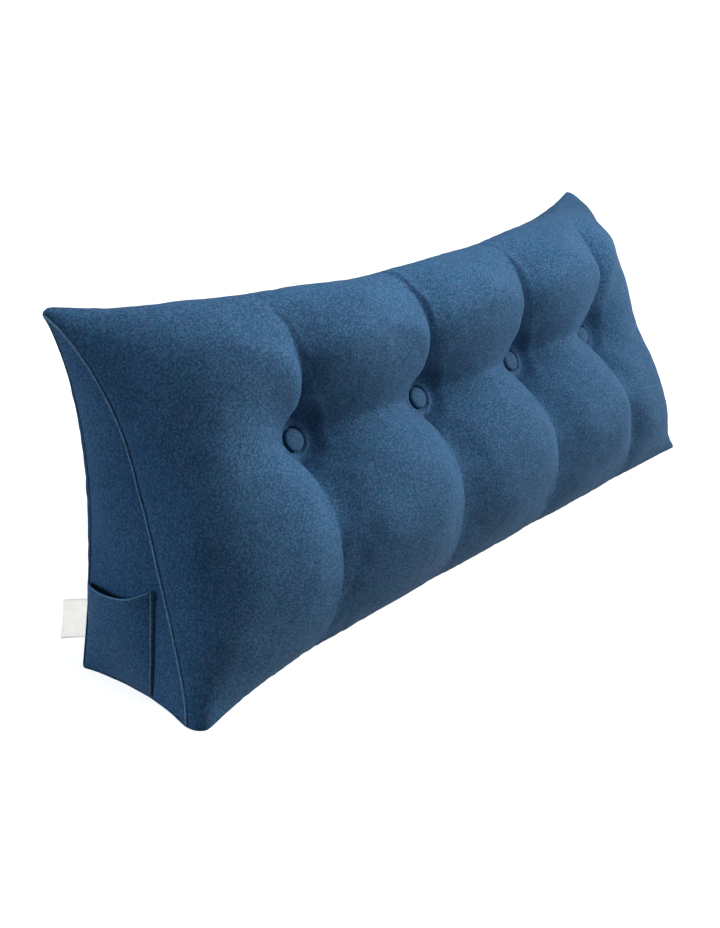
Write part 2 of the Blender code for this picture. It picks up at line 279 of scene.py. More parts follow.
@dataclass(frozen=True)
class PillowForm:
    """Seam lines, crowned panels and tufting of the pillow. Sizes are in metres."""

    # seam lines
    ear_half: float = 0.640
    base_half: float = 0.6625
    height: float = 0.500
    front_line: float = -0.1265
    back_line: float = 0.1165
    ear_lean: float = 0.040
    end_lean: float = 0.019
    end_lean_power: int = 4
    side_draw: float = 0.042
    side_draw_high: float = 0.85
    seam_sway_above: float = 0.022
    seam_sway_below: float = 0.014
    seam_sway_high: float = 0.85
    seam_sway_power: int = 8
    ear_tip: float = 0.009
    ear_tip_high: float = 0.030
    ear_rise: float = 0.006
    ear_rise_power: int = 6
    ear_flare: tuple[float, float] = (0.012, -0.030)
    ear_flare_at: float = 0.10
    ear_flare_power: int = 8
    ridge_sag: float = 0.052
    ridge_sag_skew: float = 0.35
    ridge_sag_powers: tuple[float, float] = (2.2, 1.2)
    ridge_forward: float = 0.075
    ridge_forward_power: int = 3
    foot_draw: float = 0.0455
    foot_draw_start: float = 0.10
    foot_draw_rise: float = 1.3
    foot_draw_fade: float = 0.7
    foot_corner: tuple[float, float] = (0.016, 0.0265)
    foot_corner_high: float = 0.055
    back_foot_draw: float = 0.020
    back_foot_power: float = 2.5
    end_foot_draw: float = 0.013
    end_foot_power: int = 6
    foot_notch: float = 0.003
    foot_notch_half: float = 0.037
    # crowns of the panels, as (y, z), and how they fade towards the gussets
    front_upper_crown: tuple[float, float] = (-0.13, 0.32)
    front_lower_crown: tuple[float, float] = (-0.27, 0.04)
    right_slack: float = 0.15
    right_slack_from: float = 0.5
    back_upper_crown: tuple[float, float] = (0.10, 0.10)
    back_lower_crown: tuple[float, float] = (0.07, 0.00)
    gusset_crown_share: float = 0.10
    upper_swell: tuple[float, float] = (5.0, 0.6)
    lower_swell: tuple[float, float] = (6.0, 0.55)
    tuft_swell: tuple[float, float] = (8.0, 0.5)
    # buttons, and the valley, creases and lobes that they pull into the front
    front_tilt: float = math.radians(28.6)
    button_spacing: float = 0.259
    button_count: int = 4
    button_row: float = 0.507
    row_drop: float = 0.060
    row_drop_power: int = 3
    tuft_depth: float = 0.124
    tuft_more: float = 0.08
    tuft_more_from: float = 0.35
    valley_depth: float = 0.082
    valley_reach: float = 0.072
    valley_round: float = 0.006
    valley_round_end: float = 0.060
    valley_round_within: float = 0.6
    valley_fade_left: float = 0.85
    valley_fade_right: float = 0.6
    valley_above: tuple[float, float] = (0.105, 1.6)
    valley_below: tuple[float, float] = (0.20, 2.0)
    crease_half: float = 0.10
    crease_power: float = 2.2
    crease_top: tuple[float, float] = (0.15, 2.2)
    crease_foot: tuple[float, float] = (0.97, 2.1)
    crease_soft_half: float = 0.062
    crease_softening: float = 0.16
    lobe_drop: float = 0.040
    lobe_half: float = 0.15
    lobe_power: float = 2.0
    lobe_top: tuple[float, float] = (0.06, 0.42)
    lobe_foot: float = 0.70
    lobe_last: float = 0.25
    lobe_last_within: float = 0.25
    front_length: float = 0.58
    waist_half: float = 0.610
    end_fade: float = 0.05
    # the flat seat under each button
    seat_flat: float = 0.0190
    seat_edge: float = 0.0450

    @property
    def pull(self) -> tuple[float, float]:
        """The way the buttons pull, square to the slanting front, as (y, z)."""
        return math.cos(self.front_tilt), -math.sin(self.front_tilt)

    @property
    def button_places(self) -> list[float]:
        """The x of each button, left to right."""
        first = -self.button_spacing * (self.button_count - 1) / 2.0
        return [first + self.button_spacing * number for number in range(self.button_count)]

    def dropped(self, u: Grid, v: Grid) -> Grid:
        """The height v on the front's seams of a row v, whose middle rows drop towards the right end."""
        return v + self.row_drop * np.clip(u, 0.0, 1.0) ** self.row_drop_power * np.sin(np.pi * v)

    def along(self, u: Grid, v: Grid) -> Grid:
        """Find the x of points. The right end is fuller low down than high up.

        Args:
            u: From -1 at the left gusset to 1 at the right one.
            v: From 0 at the ridge to 1 at the foot.

        Returns:
            The x of each point.
        """
        drawn = self.side_draw * np.sin(np.pi * v ** self.side_draw_high)
        fuller = self.end_lean * np.clip(u, 0.0, 1.0) ** self.end_lean_power * np.sin(2.0 * np.pi * v)
        half = mix(self.ear_half, self.base_half, v) - drawn
        return u * half - fuller + self.ear_flare[0] * self.flare(u, v)

    def flare(self, u: Grid, v: Grid) -> Grid:
        """How much broader the right top corner is, from 0 to 1."""
        down = v / self.ear_flare_at
        return np.clip(u, 0.0, 1.0) ** self.ear_flare_power * down * np.exp(1.0 - down) * (1.0 - v)

    def corner_cut(self, u: Grid, reach: float, deep: float) -> Grid:
        """How far a rounded corner at the left end is cut back at u."""
        outward = 1.0 - np.clip((1.0 + u) * self.waist_half / reach, 0.0, 1.0)
        return deep * (1.0 - np.sqrt(1.0 - outward ** 2))

    def foot_turn(self, u: Grid, v: Grid | float) -> Grid:
        """How far back the front panel turns round the left base corner."""
        low = np.exp(-(1.0 - v) * self.front_length / self.foot_corner_high)
        return self.corner_cut(u, *self.foot_corner) * low

    def ear_drop(self, u: Grid, v: Grid) -> Grid:
        """How far down the left top corner is rounded off."""
        high = np.exp(-v * self.front_length / self.ear_tip_high)
        return self.corner_cut(u, self.ear_tip, self.ear_tip) * high

    def ridge(self, u: Grid) -> tuple[Grid, Grid]:
        """Draw the top seam.

        Args:
            u: From -1 at the left gusset to 1 at the right one.

        Returns:
            The y and z of each point.
        """
        away = np.abs(u)
        y = self.back_line + self.ear_lean - self.ridge_forward * (1.0 - away ** self.ridge_forward_power)
        power, root = self.ridge_sag_powers
        sag = self.ridge_sag * (1.0 - self.ridge_sag_skew * u) * (1.0 - away ** power) ** root
        z = self.height - sag
        return y, z + self.ear_rise * np.clip(u, 0.0, 1.0) ** self.ear_rise_power

    def front_foot(self, u: Grid) -> Grid:
        """Draw the front edge of the base.

        Args:
            u: From -1 at the left gusset to 1 at the right one.

        Returns:
            The y of each point.
        """
        share = np.clip((1.0 + u) / 2.0, 0.0, 1.0)
        rise = 1.0 - np.exp(-((share / self.foot_draw_start) ** self.foot_draw_rise))
        y = self.front_line + self.foot_draw * rise * (1.0 - share) ** self.foot_draw_fade
        for place in self.button_places:
            y = y + self.foot_notch * hill(u * self.waist_half - place, self.foot_notch_half)
        return y

    def back_foot(self, u: Grid) -> Grid:
        """The y of the back edge of the base."""
        return self.back_line - self.back_foot_draw * (1.0 - np.abs(u) ** self.back_foot_power)

    @staticmethod
    def swell(u: Grid, power: float, root: float) -> Grid:
        """How full the filling is at u: none at the gussets, whole in the middle."""
        return np.clip(1.0 - np.abs(u) ** power, 0.0, 1.0) ** root

    @staticmethod
    def trough(away: Grid, half: float, power: float) -> Grid:
        """A crease's cross section: 1 in its bottom, 0 from half a width away."""
        return np.clip(1.0 - np.abs(away) / half, 0.0, 1.0) ** power

    def section(
        self,
        top: tuple[Grid, Grid],
        foot: tuple[Grid, Grid],
        crowns: tuple[tuple[float, float], tuple[float, float]],
        fullness: tuple[Grid, Grid],
        v: Grid,
    ) -> tuple[Grid, Grid]:
        """A section curve from the ridge to the foot, swollen by two handles.

        Args:
            top: The y and z of the ridge.
            foot: The y and z of the foot.
            crowns: How far the upper and the lower handle stand off the chord, as (y, z).
            fullness: How much of the upper and the lower crown there is at each point.
            v: Where on the curve, 0 at the ridge and 1 at the foot.

        Returns:
            The y and z of each point.
        """
        upper = fullness[0] * 3.0 * (1.0 - v) ** 2 * v
        lower = fullness[1] * 3.0 * (1.0 - v) * v ** 2
        y = mix(top[0], foot[0], v) + upper * crowns[0][0] + lower * crowns[1][0]
        z = mix(top[1], foot[1], v) + upper * crowns[0][1] + lower * crowns[1][1]
        return y, z

    def nearest_button(self, u: Grid) -> Grid:
        """How far along the pillow the nearest button is."""
        return np.min([np.abs(u * self.waist_half - place) for place in self.button_places], axis=0)

    def crease(self, u: Grid, v: Grid) -> Grid:
        """Work out how deep the creases above and below the buttons are, before they meet the valley.

        Args:
            u: From -1 at the left gusset to 1 at the right one.
            v: From 0 at the ridge to 1 at the foot.

        Returns:
            The depth at each point.
        """
        top, top_power = self.crease_top
        foot, foot_power = self.crease_foot
        rising = np.clip((v - top) / (self.button_row - top), 0.0, 1.0) ** top_power
        falling = np.clip((foot - v) / (foot - self.button_row), 0.0, 1.0) ** foot_power
        depth = self.tuft_depth * np.where(v <= self.button_row, rising, falling)
        away = self.nearest_button(u)
        soft = hill(away, self.crease_soft_half)
        softened = smooth((v - self.button_row) / self.crease_softening)
        return depth * mix(self.trough(away, self.crease_half, self.crease_power), soft, softened)

    def valley(self, u: Grid, v: Grid) -> Grid:
        """Work out how deep the valley along the row of buttons is.

        Args:
            u: From -1 at the left gusset to 1 at the right one.
            v: From 0 at the ridge to 1 at the foot.

        Returns:
            The depth at each point.
        """
        last = self.button_places[-1] / self.waist_half
        fade = np.where(u < 0.0, self.valley_fade_left, self.valley_fade_right)
        to_end = np.clip((1.0 - np.abs(u)) / (1.0 - last), 0.0, 1.0) ** fade
        near = hill(self.nearest_button(u), self.valley_reach)
        below = (v - self.button_row) * self.front_length
        beyond = smooth((np.abs(u) - last) / (1.0 - last) / self.valley_round_within)
        bottom = mix(self.valley_round, self.valley_round_end, beyond)
        away = np.sqrt(below ** 2 + bottom ** 2) - bottom
        upper_slope = self.trough(away, *self.valley_above)
        lower_slope = self.trough(away, *self.valley_below)
        slope = np.where(below < 0.0, upper_slope, lower_slope)
        return mix(self.valley_depth, self.tuft_depth, near) * to_end * slope

    def lobe(self, u: Grid, v: Grid) -> Grid:
        """Work out how much lower the cloth is than on the crest of its lobe.

        Args:
            u: From -1 at the left gusset to 1 at the right one.
            v: From 0 at the ridge to 1 at the foot.

        Returns:
            The drop at each point.
        """
        top, full = self.lobe_top
        down = ease(v, top, full) * ease(v, 1.0, self.lobe_foot)
        last = self.button_places[-1] / self.waist_half
        flatter = mix(1.0, self.lobe_last, smooth((u - last) / (self.lobe_last_within * (1.0 - last))))
        across = self.trough(self.nearest_button(u), self.lobe_half, self.lobe_power)
        return self.lobe_drop * flatter * down * across

    def tuft_pull(self, u: Grid, v: Grid) -> Grid:
        """Work out how far the buttons pull the front panel in.

        Args:
            u: From -1 at the left gusset to 1 at the right one.
            v: From 0 at the ridge to 1 at the foot.

        Returns:
            The depth at each point.
        """
        power = 4
        depths = (self.valley(u, v), self.crease(u, v), self.lobe(u, v))
        pulled = sum(depth ** power for depth in depths) ** (1.0 / power)
        pulled = np.minimum(pulled, self.tuft_depth)
        deeper = 1.0 + self.tuft_more * smooth(u / self.tuft_more_from)
        return pulled * deeper * np.clip((1.0 - np.abs(u)) / self.end_fade, 0.0, 1.0)

    def seam_sway(self, v: Grid) -> Grid:
        """How far the front gusset seam stands in front of a straight line."""
        wave = np.sin(2.0 * np.pi * v ** self.seam_sway_high)
        return wave * np.where(wave > 0.0, self.seam_sway_above, self.seam_sway_below)

    def tufted(self, u: Grid, v: Grid) -> Grid:
        """Place points of the front panel before the buttons press their seats.

        Args:
            u: From -1 at the left gusset to 1 at the right one.
            v: From 0 at the ridge to 1 at the foot.

        Returns:
            The points.
        """
        slacker = 1.0 - self.right_slack * ease(u, self.right_slack_from, 1.0)
        fullness = (self.swell(u, *self.upper_swell) * slacker, self.swell(u, *self.lower_swell))
        crowns = (self.front_upper_crown, self.front_lower_crown)
        low = self.dropped(u, v)
        y, z = self.section(self.ridge(u), (self.front_foot(u), 0.0 * u), crowns, fullness, low)
        sway = self.seam_sway(low) * np.abs(u) ** self.seam_sway_power
        y = y - sway + self.ear_flare[1] * self.flare(u, v)
        y, z = y + self.foot_turn(u, low), z - self.ear_drop(u, low)
        pulled = self.tuft_pull(u, v) * self.swell(u, *self.tuft_swell)
        return np.stack([self.along(u, low), y + self.pull[0] * pulled, z + self.pull[1] * pulled], axis=-1)

    def seats(self) -> list[Grid]:
        """The middle of each button's seat."""
        spots = [np.array(place / self.waist_half) for place in self.button_places]
        return [self.tufted(spot, self.button_row) for spot in spots]

    def front(self, u: Grid, v: Grid) -> Grid:
        """Place points of the buttoned front panel.

        Args:
            u: From -1 at the left gusset to 1 at the right one.
            v: From 0 at the ridge to 1 at the foot.

        Returns:
            The points.
        """
        points = self.tufted(u, v)
        for seat in self.seats():
            across, y, z = np.moveaxis(points - seat, -1, 0)
            depth = y * self.pull[0] + z * self.pull[1]
            up = -y * self.pull[1] + z * self.pull[0]
            held = 1.0 - ease(np.hypot(across, up), self.seat_flat, self.seat_edge)
            held = np.where(np.abs(depth) < 2.0 * self.seat_edge, held, 0.0)
            points[..., 1] -= held * depth * self.pull[0]
            points[..., 2] -= held * depth * self.pull[1]
        return points

    def back(self, u: Grid, v: Grid) -> Grid:
        """Place points of the plain back panel.

        Args:
            u: From -1 at the left gusset to 1 at the right one.
            v: From 0 at the ridge to 1 at the foot.

        Returns:
            The points.
        """
        full = self.swell(u, *self.lower_swell)
        crowns = (self.back_upper_crown, self.back_lower_crown)
        y, z = self.section(self.ridge(u), (self.back_foot(u), 0.0 * u), crowns, (full, full), v)
        return np.stack([self.along(u, v), y, z - self.ear_drop(u, v)], axis=-1)

    def base(self, u: Grid, w: Grid) -> Grid:
        """Place points of the flat base.

        Args:
            u: From -1 at the left gusset to 1 at the right one.
            w: From 0 at its front edge to 1 at its back edge.

        Returns:
            The points.
        """
        y = mix(self.front_foot(u) + self.foot_turn(u, 1.0), self.back_foot(u), w)
        drawn = self.end_foot_draw * 4.0 * w * (1.0 - w) / self.base_half
        return np.stack([u * self.base_half * (1.0 - drawn), y, 0.0 * u], axis=-1)

    def gusset(self, end: int, w: Grid, v: Grid) -> Grid:
        """Place points of an end gusset.

        Args:
            end: -1 for the left one, +1 for the right one.
            w: From 0 at the front seam to 1 at the back seam.
            v: From 0 at the ear to 1 at the base.

        Returns:
            The points.
        """
        u = np.full_like(v, float(end))
        front, back = self.front(u, v), self.back(u, v)
        points = front + (back - front) * w[..., None]
        across = 4.0 * w * (1.0 - w)
        width = np.linalg.norm(back - front, axis=-1)
        bulge = self.gusset_crown_share * width * across * np.sin(np.pi * v)
        points[..., 0] += end * (bulge - self.end_foot_draw * across * v ** self.end_foot_power)
        return points

    def gusset_outward(self, w: Grid, v: Grid) -> Grid:
        """Find the way out of the left gusset.

        Args:
            w: From 0 at the front seam to 1 at the back seam.
            v: From 0 at the ear to 1 at the base.

        Returns:
            A unit direction for each point.
        """
        step = 0.002
        along = self.gusset(-1, w + step, v) - self.gusset(-1, w - step, v)
        down = self.gusset(-1, w, v + step) - self.gusset(-1, w, v - step)
        out = unit(np.cross(down, along))
        return np.where(out[..., :1] > 0.0, -out, out)


@dataclass
class NodeTree:
    """A material's nodes, with the few kinds of step that the finishes here are made of."""

    material: bpy.types.Material

    @classmethod
    def fresh(cls, name: str) -> "NodeTree":
        """Start a material that has only its shader and its output.

        Args:
            name: The material's name.

        Returns:
            Its nodes.
        """
        material = bpy.data.materials.new(name)
        material.use_nodes = True
        return cls(material)

    @property
    def shader(self) -> bpy.types.Node:
        """The material's principled shader."""
        return self.material.node_tree.nodes["Principled BSDF"]

    def add(self, kind: str, **settings: object) -> bpy.types.Node:
        """Add a node.

        Args:
            kind: Blender's name for the kind of node.
            **settings: The properties that are set on it.

        Returns:
            The node.
        """
        node = self.material.node_tree.nodes.new(kind)
        for name, value in settings.items():
            setattr(node, name, value)
        return node

    def join(self, start: Socket, end: Socket) -> None:
        """Link two sockets."""
        self.material.node_tree.links.new(start, end)

    def cloth_place(self, turn: float = 0.0) -> Socket:
        """Where a point is in its piece of cloth.

        Args:
            turn: Turns the cloth, in radians.

        Returns:
            The socket that gives the place.
        """
        place = self.add("ShaderNodeUVMap", uv_map="cloth")
        mapping = self.add("ShaderNodeMapping")
        mapping.inputs["Rotation"].default_value = (0.0, 0.0, turn)
        self.join(place.outputs["UV"], mapping.inputs["Vector"])
        return mapping.outputs["Vector"]

    def noise(self, place: Socket, scale: float, detail: float = 2.0) -> Socket:
        """Make cloudy noise.

        Args:
            place: Where a point is.
            scale: How fine the noise is.
            detail: How many finer layers it has.

        Returns:
            The socket that gives it, 0 to 1.
        """
        node = self.add("ShaderNodeTexNoise")
        node.inputs["Scale"].default_value = scale
        node.inputs["Detail"].default_value = detail
        node.inputs["Roughness"].default_value = NOISE_ROUGHNESS
        self.join(place, node.inputs["Vector"])
        return node.outputs["Fac"]

    def ribs(self, place: Socket, pitch: float, way: ThreadWay) -> Socket:
        """Make parallel threads a pitch apart.

        Args:
            place: Where a point is in the cloth.
            pitch: From one thread to the next, in metres.
            way: The way that they run.

        Returns:
            The socket that gives the thread's height, 0 to 1.
        """
        node = self.add("ShaderNodeTexWave", bands_direction=way.value)
        node.inputs["Scale"].default_value = 2.0 * math.pi / (WAVE_UNIT * pitch)
        node.inputs["Distortion"].default_value = THREAD_WANDER
        node.inputs["Detail"].default_value = 1.0
        self.join(place, node.inputs["Vector"])
        return node.outputs["Fac"]

    def math(self, kind: Sum, first: Socket, second: Socket | float) -> Socket:
        """Combine a value with another value or a number.

        Args:
            kind: How.
            first: The socket that gives the value.
            second: Another socket, or a number.

        Returns:
            The socket that gives the outcome.
        """
        node = self.add("ShaderNodeMath", operation=kind.value)
        self.join(first, node.inputs[0])
        if isinstance(second, (int, float)):
            node.inputs[1].default_value = float(second)
        else:
            self.join(second, node.inputs[1])
        return node.outputs[0]

    def spread(
        self, value: Socket, low: float, high: float, to: tuple[float, float] = (0.0, 1.0)
    ) -> Socket:
        """Map a value to another range, held at both ends.

        Args:
            value: The socket that gives the value.
            low: The value that becomes the first end of the range.
            high: The value that becomes the other one.
            to: The range.

        Returns:
            The socket that gives the mapped value.
        """
        node = self.add("ShaderNodeMapRange")
        node.inputs["From Min"].default_value = low
        node.inputs["From Max"].default_value = high
        node.inputs["To Min"].default_value = to[0]
        node.inputs["To Max"].default_value = to[1]
        self.join(value, node.inputs["Value"])
        return node.outputs["Result"]

    def blend(self, share: Socket, first: Socket | Colour, second: Socket | Colour) -> Socket:
        """Mix two colours.

        Args:
            share: The socket that gives how much of the second there is.
            first: A colour, or a socket that gives one.
            second: Another one.

        Returns:
            The socket that gives the mixed colour.
        """
        node = self.add("ShaderNodeMix", data_type="RGBA")
        self.join(share, node.inputs["Factor"])
        colour_inputs = [socket for socket in node.inputs if socket.type == "RGBA"]
        for colour, socket in zip((first, second), colour_inputs):
            if isinstance(colour, tuple):
                socket.default_value = (*colour, 1.0)
            else:
                self.join(colour, socket)
        return next(socket for socket in node.outputs if socket.type == "RGBA")

    def bump(self, height: Socket, strength: float, distance: float) -> None:
        """Raise the surface, through the shader's normal.

        Args:
            height: The socket that gives the height.
            strength: How strongly it shows, 0 to 1.
            distance: What a height of 1 is, in metres.
        """
        node = self.add("ShaderNodeBump")
        node.inputs["Strength"].default_value = strength
        node.inputs["Distance"].default_value = distance
        self.join(height, node.inputs["Height"])
        self.join(node.outputs["Normal"], self.shader.inputs["Normal"])


@dataclass(frozen=True)
class MelangeCloth:
    """Soft brushed upholstery cloth, woven from threads of several blues."""

    name: str
    deep: Colour
    middle: Colour
    drift: Colour
    pale: Colour
    speckle_scale: float = 335.0
    fibre_scale: float = 640.0
    fibre_share: float = 0.35
    cloud_scale: float = 11.0
    cloud_share: float = 0.22
    drift_scale: float = 65.0
    drift_span: tuple[float, float] = (0.38, 0.62)
    tones: tuple[float, float, float] = (0.62, 0.785, 0.95)
    roughness: tuple[float, float] = (0.92, 0.80)
    thread_pitch: float = 0.0013
    thread_share: float = 0.15
    relief: tuple[float, float] = (0.30, 0.0008)
    sheen: float = 0.06
    sheen_roughness: float = 0.38
    sheen_tint: Colour = (0.35, 0.60, 1.0)
    shine: float = 0.10

    def speckle(self, tree: NodeTree, place: Socket) -> Socket:
        """Mix the yarns, their fibres and broad cloudy shading.

        Args:
            tree: The material's nodes.
            place: Where a point is.

        Returns:
            The socket that gives the tone, about 0.6 to 1.1.
        """
        yarns = tree.noise(place, self.speckle_scale, detail=1.0)
        fibres = tree.math(Sum.TIMES, tree.noise(place, self.fibre_scale), self.fibre_share)
        cloudy = tree.math(Sum.TIMES, tree.noise(place, self.cloud_scale, detail=3.0), self.cloud_share)
        return tree.math(Sum.PLUS, tree.math(Sum.PLUS, yarns, fibres), cloudy)

    def threads(self, tree: NodeTree) -> Socket:
        """Fine warp and weft threads, about 0 to 2."""
        warp, weft = (tree.ribs(tree.cloth_place(), self.thread_pitch, way) for way in ThreadWay)
        return tree.math(Sum.PLUS, warp, weft)

    def material(self) -> bpy.types.Material:
        """Make the cloth's material.

        Returns:
            The material: deep, middle and pale threads by their tone, and a fine weave in its bump.
        """
        tree = NodeTree.fresh(self.name)
        place = tree.add("ShaderNodeTexCoord").outputs["Object"]
        toned = self.speckle(tree, place)
        darkest, even, palest = self.tones
        drifted = tree.spread(tree.noise(place, self.drift_scale), *self.drift_span)
        middle = tree.blend(drifted, self.middle, self.drift)
        colour = tree.blend(tree.spread(toned, darkest, even), self.deep, middle)
        colour = tree.blend(tree.spread(toned, even, palest), colour, self.pale)
        tree.join(colour, tree.shader.inputs["Base Color"])
        rough = tree.spread(toned, darkest, palest, self.roughness)
        tree.join(rough, tree.shader.inputs["Roughness"])
        woven = tree.math(Sum.TIMES, self.threads(tree), self.thread_share)
        tree.bump(tree.math(Sum.PLUS, toned, woven), *self.relief)
        tree.shader.inputs["Sheen Weight"].default_value = self.sheen
        tree.shader.inputs["Sheen Roughness"].default_value = self.sheen_roughness
        tree.shader.inputs["Sheen Tint"].default_value = (*self.sheen_tint, 1.0)
        tree.shader.inputs["Specular IOR Level"].default_value = self.shine
        return tree.material


@dataclass(frozen=True)
class SewingThread:
    """Matt polyester thread with a visible twist."""

    name: str
    colour: Colour
    twist_pitch: float = 0.0006
    twist_turn: float = 0.5
    shade: float = 0.7
    roughness: float = 0.6
    relief: tuple[float, float] = (0.4, 0.0002)

    def material(self) -> bpy.types.Material:
        """Make the thread's material.

        Returns:
            The material, darker between the turns of its twist: painted shade in its grooves.
        """
        tree = NodeTree.fresh(self.name)
        twist = tree.ribs(tree.cloth_place(self.twist_turn), self.twist_pitch, ThreadWay.WARP)
        # The colour follows the twist's height, so the grooves between its turns get painted shade.
        colour = tree.blend(twist, tinted(self.colour, self.shade), self.colour)
        tree.join(colour, tree.shader.inputs["Base Color"])
        tree.shader.inputs["Roughness"].default_value = self.roughness
        tree.bump(twist, *self.relief)
        return tree.material


@dataclass(frozen=True)
class LabelTape:
    """Plain cream satin tape with fine ribs, which lets some light through."""

    name: str
    colour: Colour
    rib_pitch: float = 0.0009
    cross_pitch: float = 0.0013
    cross_share: float = 0.5
    wear_scale: float = 60.0
    wear_span: tuple[float, float] = (0.35, 0.6)
    shade: float = 0.92
    roughness: float = 0.55
    translucence: float = 0.9
    light_reach: tuple[float, float, float] = (0.006, 0.006, 0.005)
    relief: tuple[float, float] = (0.5, 0.0003)

    def material(self) -> bpy.types.Material:
        """Make the tape's material.

        Returns:
            The material, a little darker where it is worn.
        """
        tree = NodeTree.fresh(self.name)
        place = tree.cloth_place()
        ribs = tree.ribs(place, self.rib_pitch, ThreadWay.WEFT)
        cross = tree.ribs(place, self.cross_pitch, ThreadWay.WARP)
        height = tree.math(Sum.PLUS, ribs, tree.math(Sum.TIMES, cross, self.cross_share))
        worn = tree.spread(tree.noise(place, self.wear_scale, detail=3.0), *self.wear_span)
        colour = tree.blend(worn, tinted(self.colour, self.shade), self.colour)
        tree.join(colour, tree.shader.inputs["Base Color"])
        tree.shader.inputs["Roughness"].default_value = self.roughness
        tree.shader.inputs["Subsurface Weight"].default_value = self.translucence
        tree.shader.inputs["Subsurface Radius"].default_value = self.light_reach
        tree.shader.inputs["Subsurface Scale"].default_value = 1.0
        tree.bump(height, *self.relief)
        return tree.material


@dataclass(frozen=True)
class StudioPaper:
    """Pale seamless paper."""

    name: str
    colour: Colour
    tone_scale: float = 1.5
    tone_span: tuple[float, float] = (0.3, 0.7)
    shade: float = 0.98
    roughness: float = 0.9
    glow: float = 0.85

    def material(self) -> bpy.types.Material:
        """Make the paper's material.

        Returns:
            The material, which glows as brightly lit paper does.
        """
        tree = NodeTree.fresh(self.name)
        place = tree.add("ShaderNodeTexCoord").outputs["Object"]
        tone = tree.spread(tree.noise(place, self.tone_scale), *self.tone_span)
        colour = tree.blend(tone, tinted(self.colour, self.shade), self.colour)
        tree.join(colour, tree.shader.inputs["Base Color"])
        tree.shader.inputs["Roughness"].default_value = self.roughness
        tree.shader.inputs["Emission Color"].default_value = (1.0, 1.0, 1.0, 1.0)
        tree.shader.inputs["Emission Strength"].default_value = self.glow
        return tree.material


@dataclass
class ClothMesh:
    """Grids of points gathered into one mesh, with each point's place in its cloth."""

    points: list[Grid] = field(default_factory=list)
    faces: list[tuple[int, ...]] = field(default_factory=list)
    places: list[Grid] = field(default_factory=list)
    slots: list[int] = field(default_factory=list)
    count: int = 0

    def new_points(self, points: Grid) -> Grid:
        """Add a grid of points.

        Args:
            points: The points.

        Returns:
            Their numbers, in the grid's shape.
        """
        flat = points.reshape(-1, 3)
        numbers = np.arange(self.count, self.count + len(flat)).reshape(points.shape[:-1])
        self.points.append(flat)
        self.count += len(flat)
        return numbers

    def add_face(self, numbers: Grid | list[int], places: Grid, slot: int = 0) -> None:
        """Add one face.

        Args:
            numbers: The numbers of its corners.
            places: Where each corner is in its cloth, in metres.
            slot: Its material slot.
        """
        self.faces.append(tuple(int(number) for number in numbers))
        self.places.append(places)
        self.slots.append(slot)

    def add_faces(self, numbers: Grid, places: Grid, slot: int = 0) -> None:
        """Add a quad for each cell of a grid, or a triangle where two of its corners are one point.

        Args:
            numbers: The number of each grid point.
            places: Where each grid point is in its cloth, in metres.
            slot: The material slot of the faces.
        """
        corners = [(0, 0), (1, 0), (1, 1), (0, 1)]
        rows, columns = numbers.shape
        around = [numbers[i:rows - 1 + i, j:columns - 1 + j].ravel() for i, j in corners]
        spots = [places[i:rows - 1 + i, j:columns - 1 + j].reshape(-1, 2) for i, j in corners]
        for cell, spot in zip(np.stack(around, axis=1), np.stack(spots, axis=1)):
            kept = [k for k in range(4) if cell[k] != cell[k - 1]]
            if len(kept) > 2:
                self.add_face(cell[kept], spot[kept], slot)

    def add_sheet(self, sides: tuple[Grid, Grid], places: Grid, rim: float) -> None:
        """Add a thin sheet: its two sides, and the rim that joins them.

        Args:
            sides: The points of its two sides.
            places: Where each point is in its cloth, in metres.
            rim: How wide the rim is in the cloth.
        """
        first, second = (self.new_points(points) for points in sides)
        self.add_faces(first, places)
        self.add_faces(second, places)
        for cut in (np.s_[0, :], np.s_[-1, :], np.s_[:, 0], np.s_[:, -1]):
            edge = np.stack([first[cut], second[cut]])
            self.add_faces(edge, np.stack([places[cut], places[cut] + rim]))

    def add_tube(self, rings: Grid, places: Grid) -> None:
        """Add a tube with flat ends.

        Args:
            rings: A row of points for each ring, whose last point lies on its first.
            places: Where each point is in its cloth, in metres.
        """
        numbers = closed(self.new_points(rings[:, :-1]))
        self.add_faces(numbers, places)
        for ring in (numbers[0, :-1], numbers[-1, :-1]):
            self.add_face(ring, np.zeros((len(ring), 2)))

    def object(self, name: str, materials: list[bpy.types.Material]) -> bpy.types.Object:
        """Make the object.

        Args:
            name: The piece's name.
            materials: Its material slots.

        Returns:
            The new object, smooth shaded, with its normals outward.
        """
        data = bpy.data.meshes.new(name)
        data.from_pydata(np.concatenate(self.points), [], self.faces)
        layer = data.uv_layers.new(name="cloth")
        layer.data.foreach_set("uv", np.concatenate(self.places).astype(np.float32).ravel())
        data.polygons.foreach_set("material_index", self.slots)
        for material in materials:
            data.materials.append(material)
        mesh = bmesh.new()
        mesh.from_mesh(data)
        bmesh.ops.recalc_face_normals(mesh, faces=mesh.faces)
        mesh.to_mesh(data)
        mesh.free()
        data.shade_smooth()
        made = bpy.data.objects.new(name, data)
        bpy.context.scene.collection.objects.link(made)
        return made


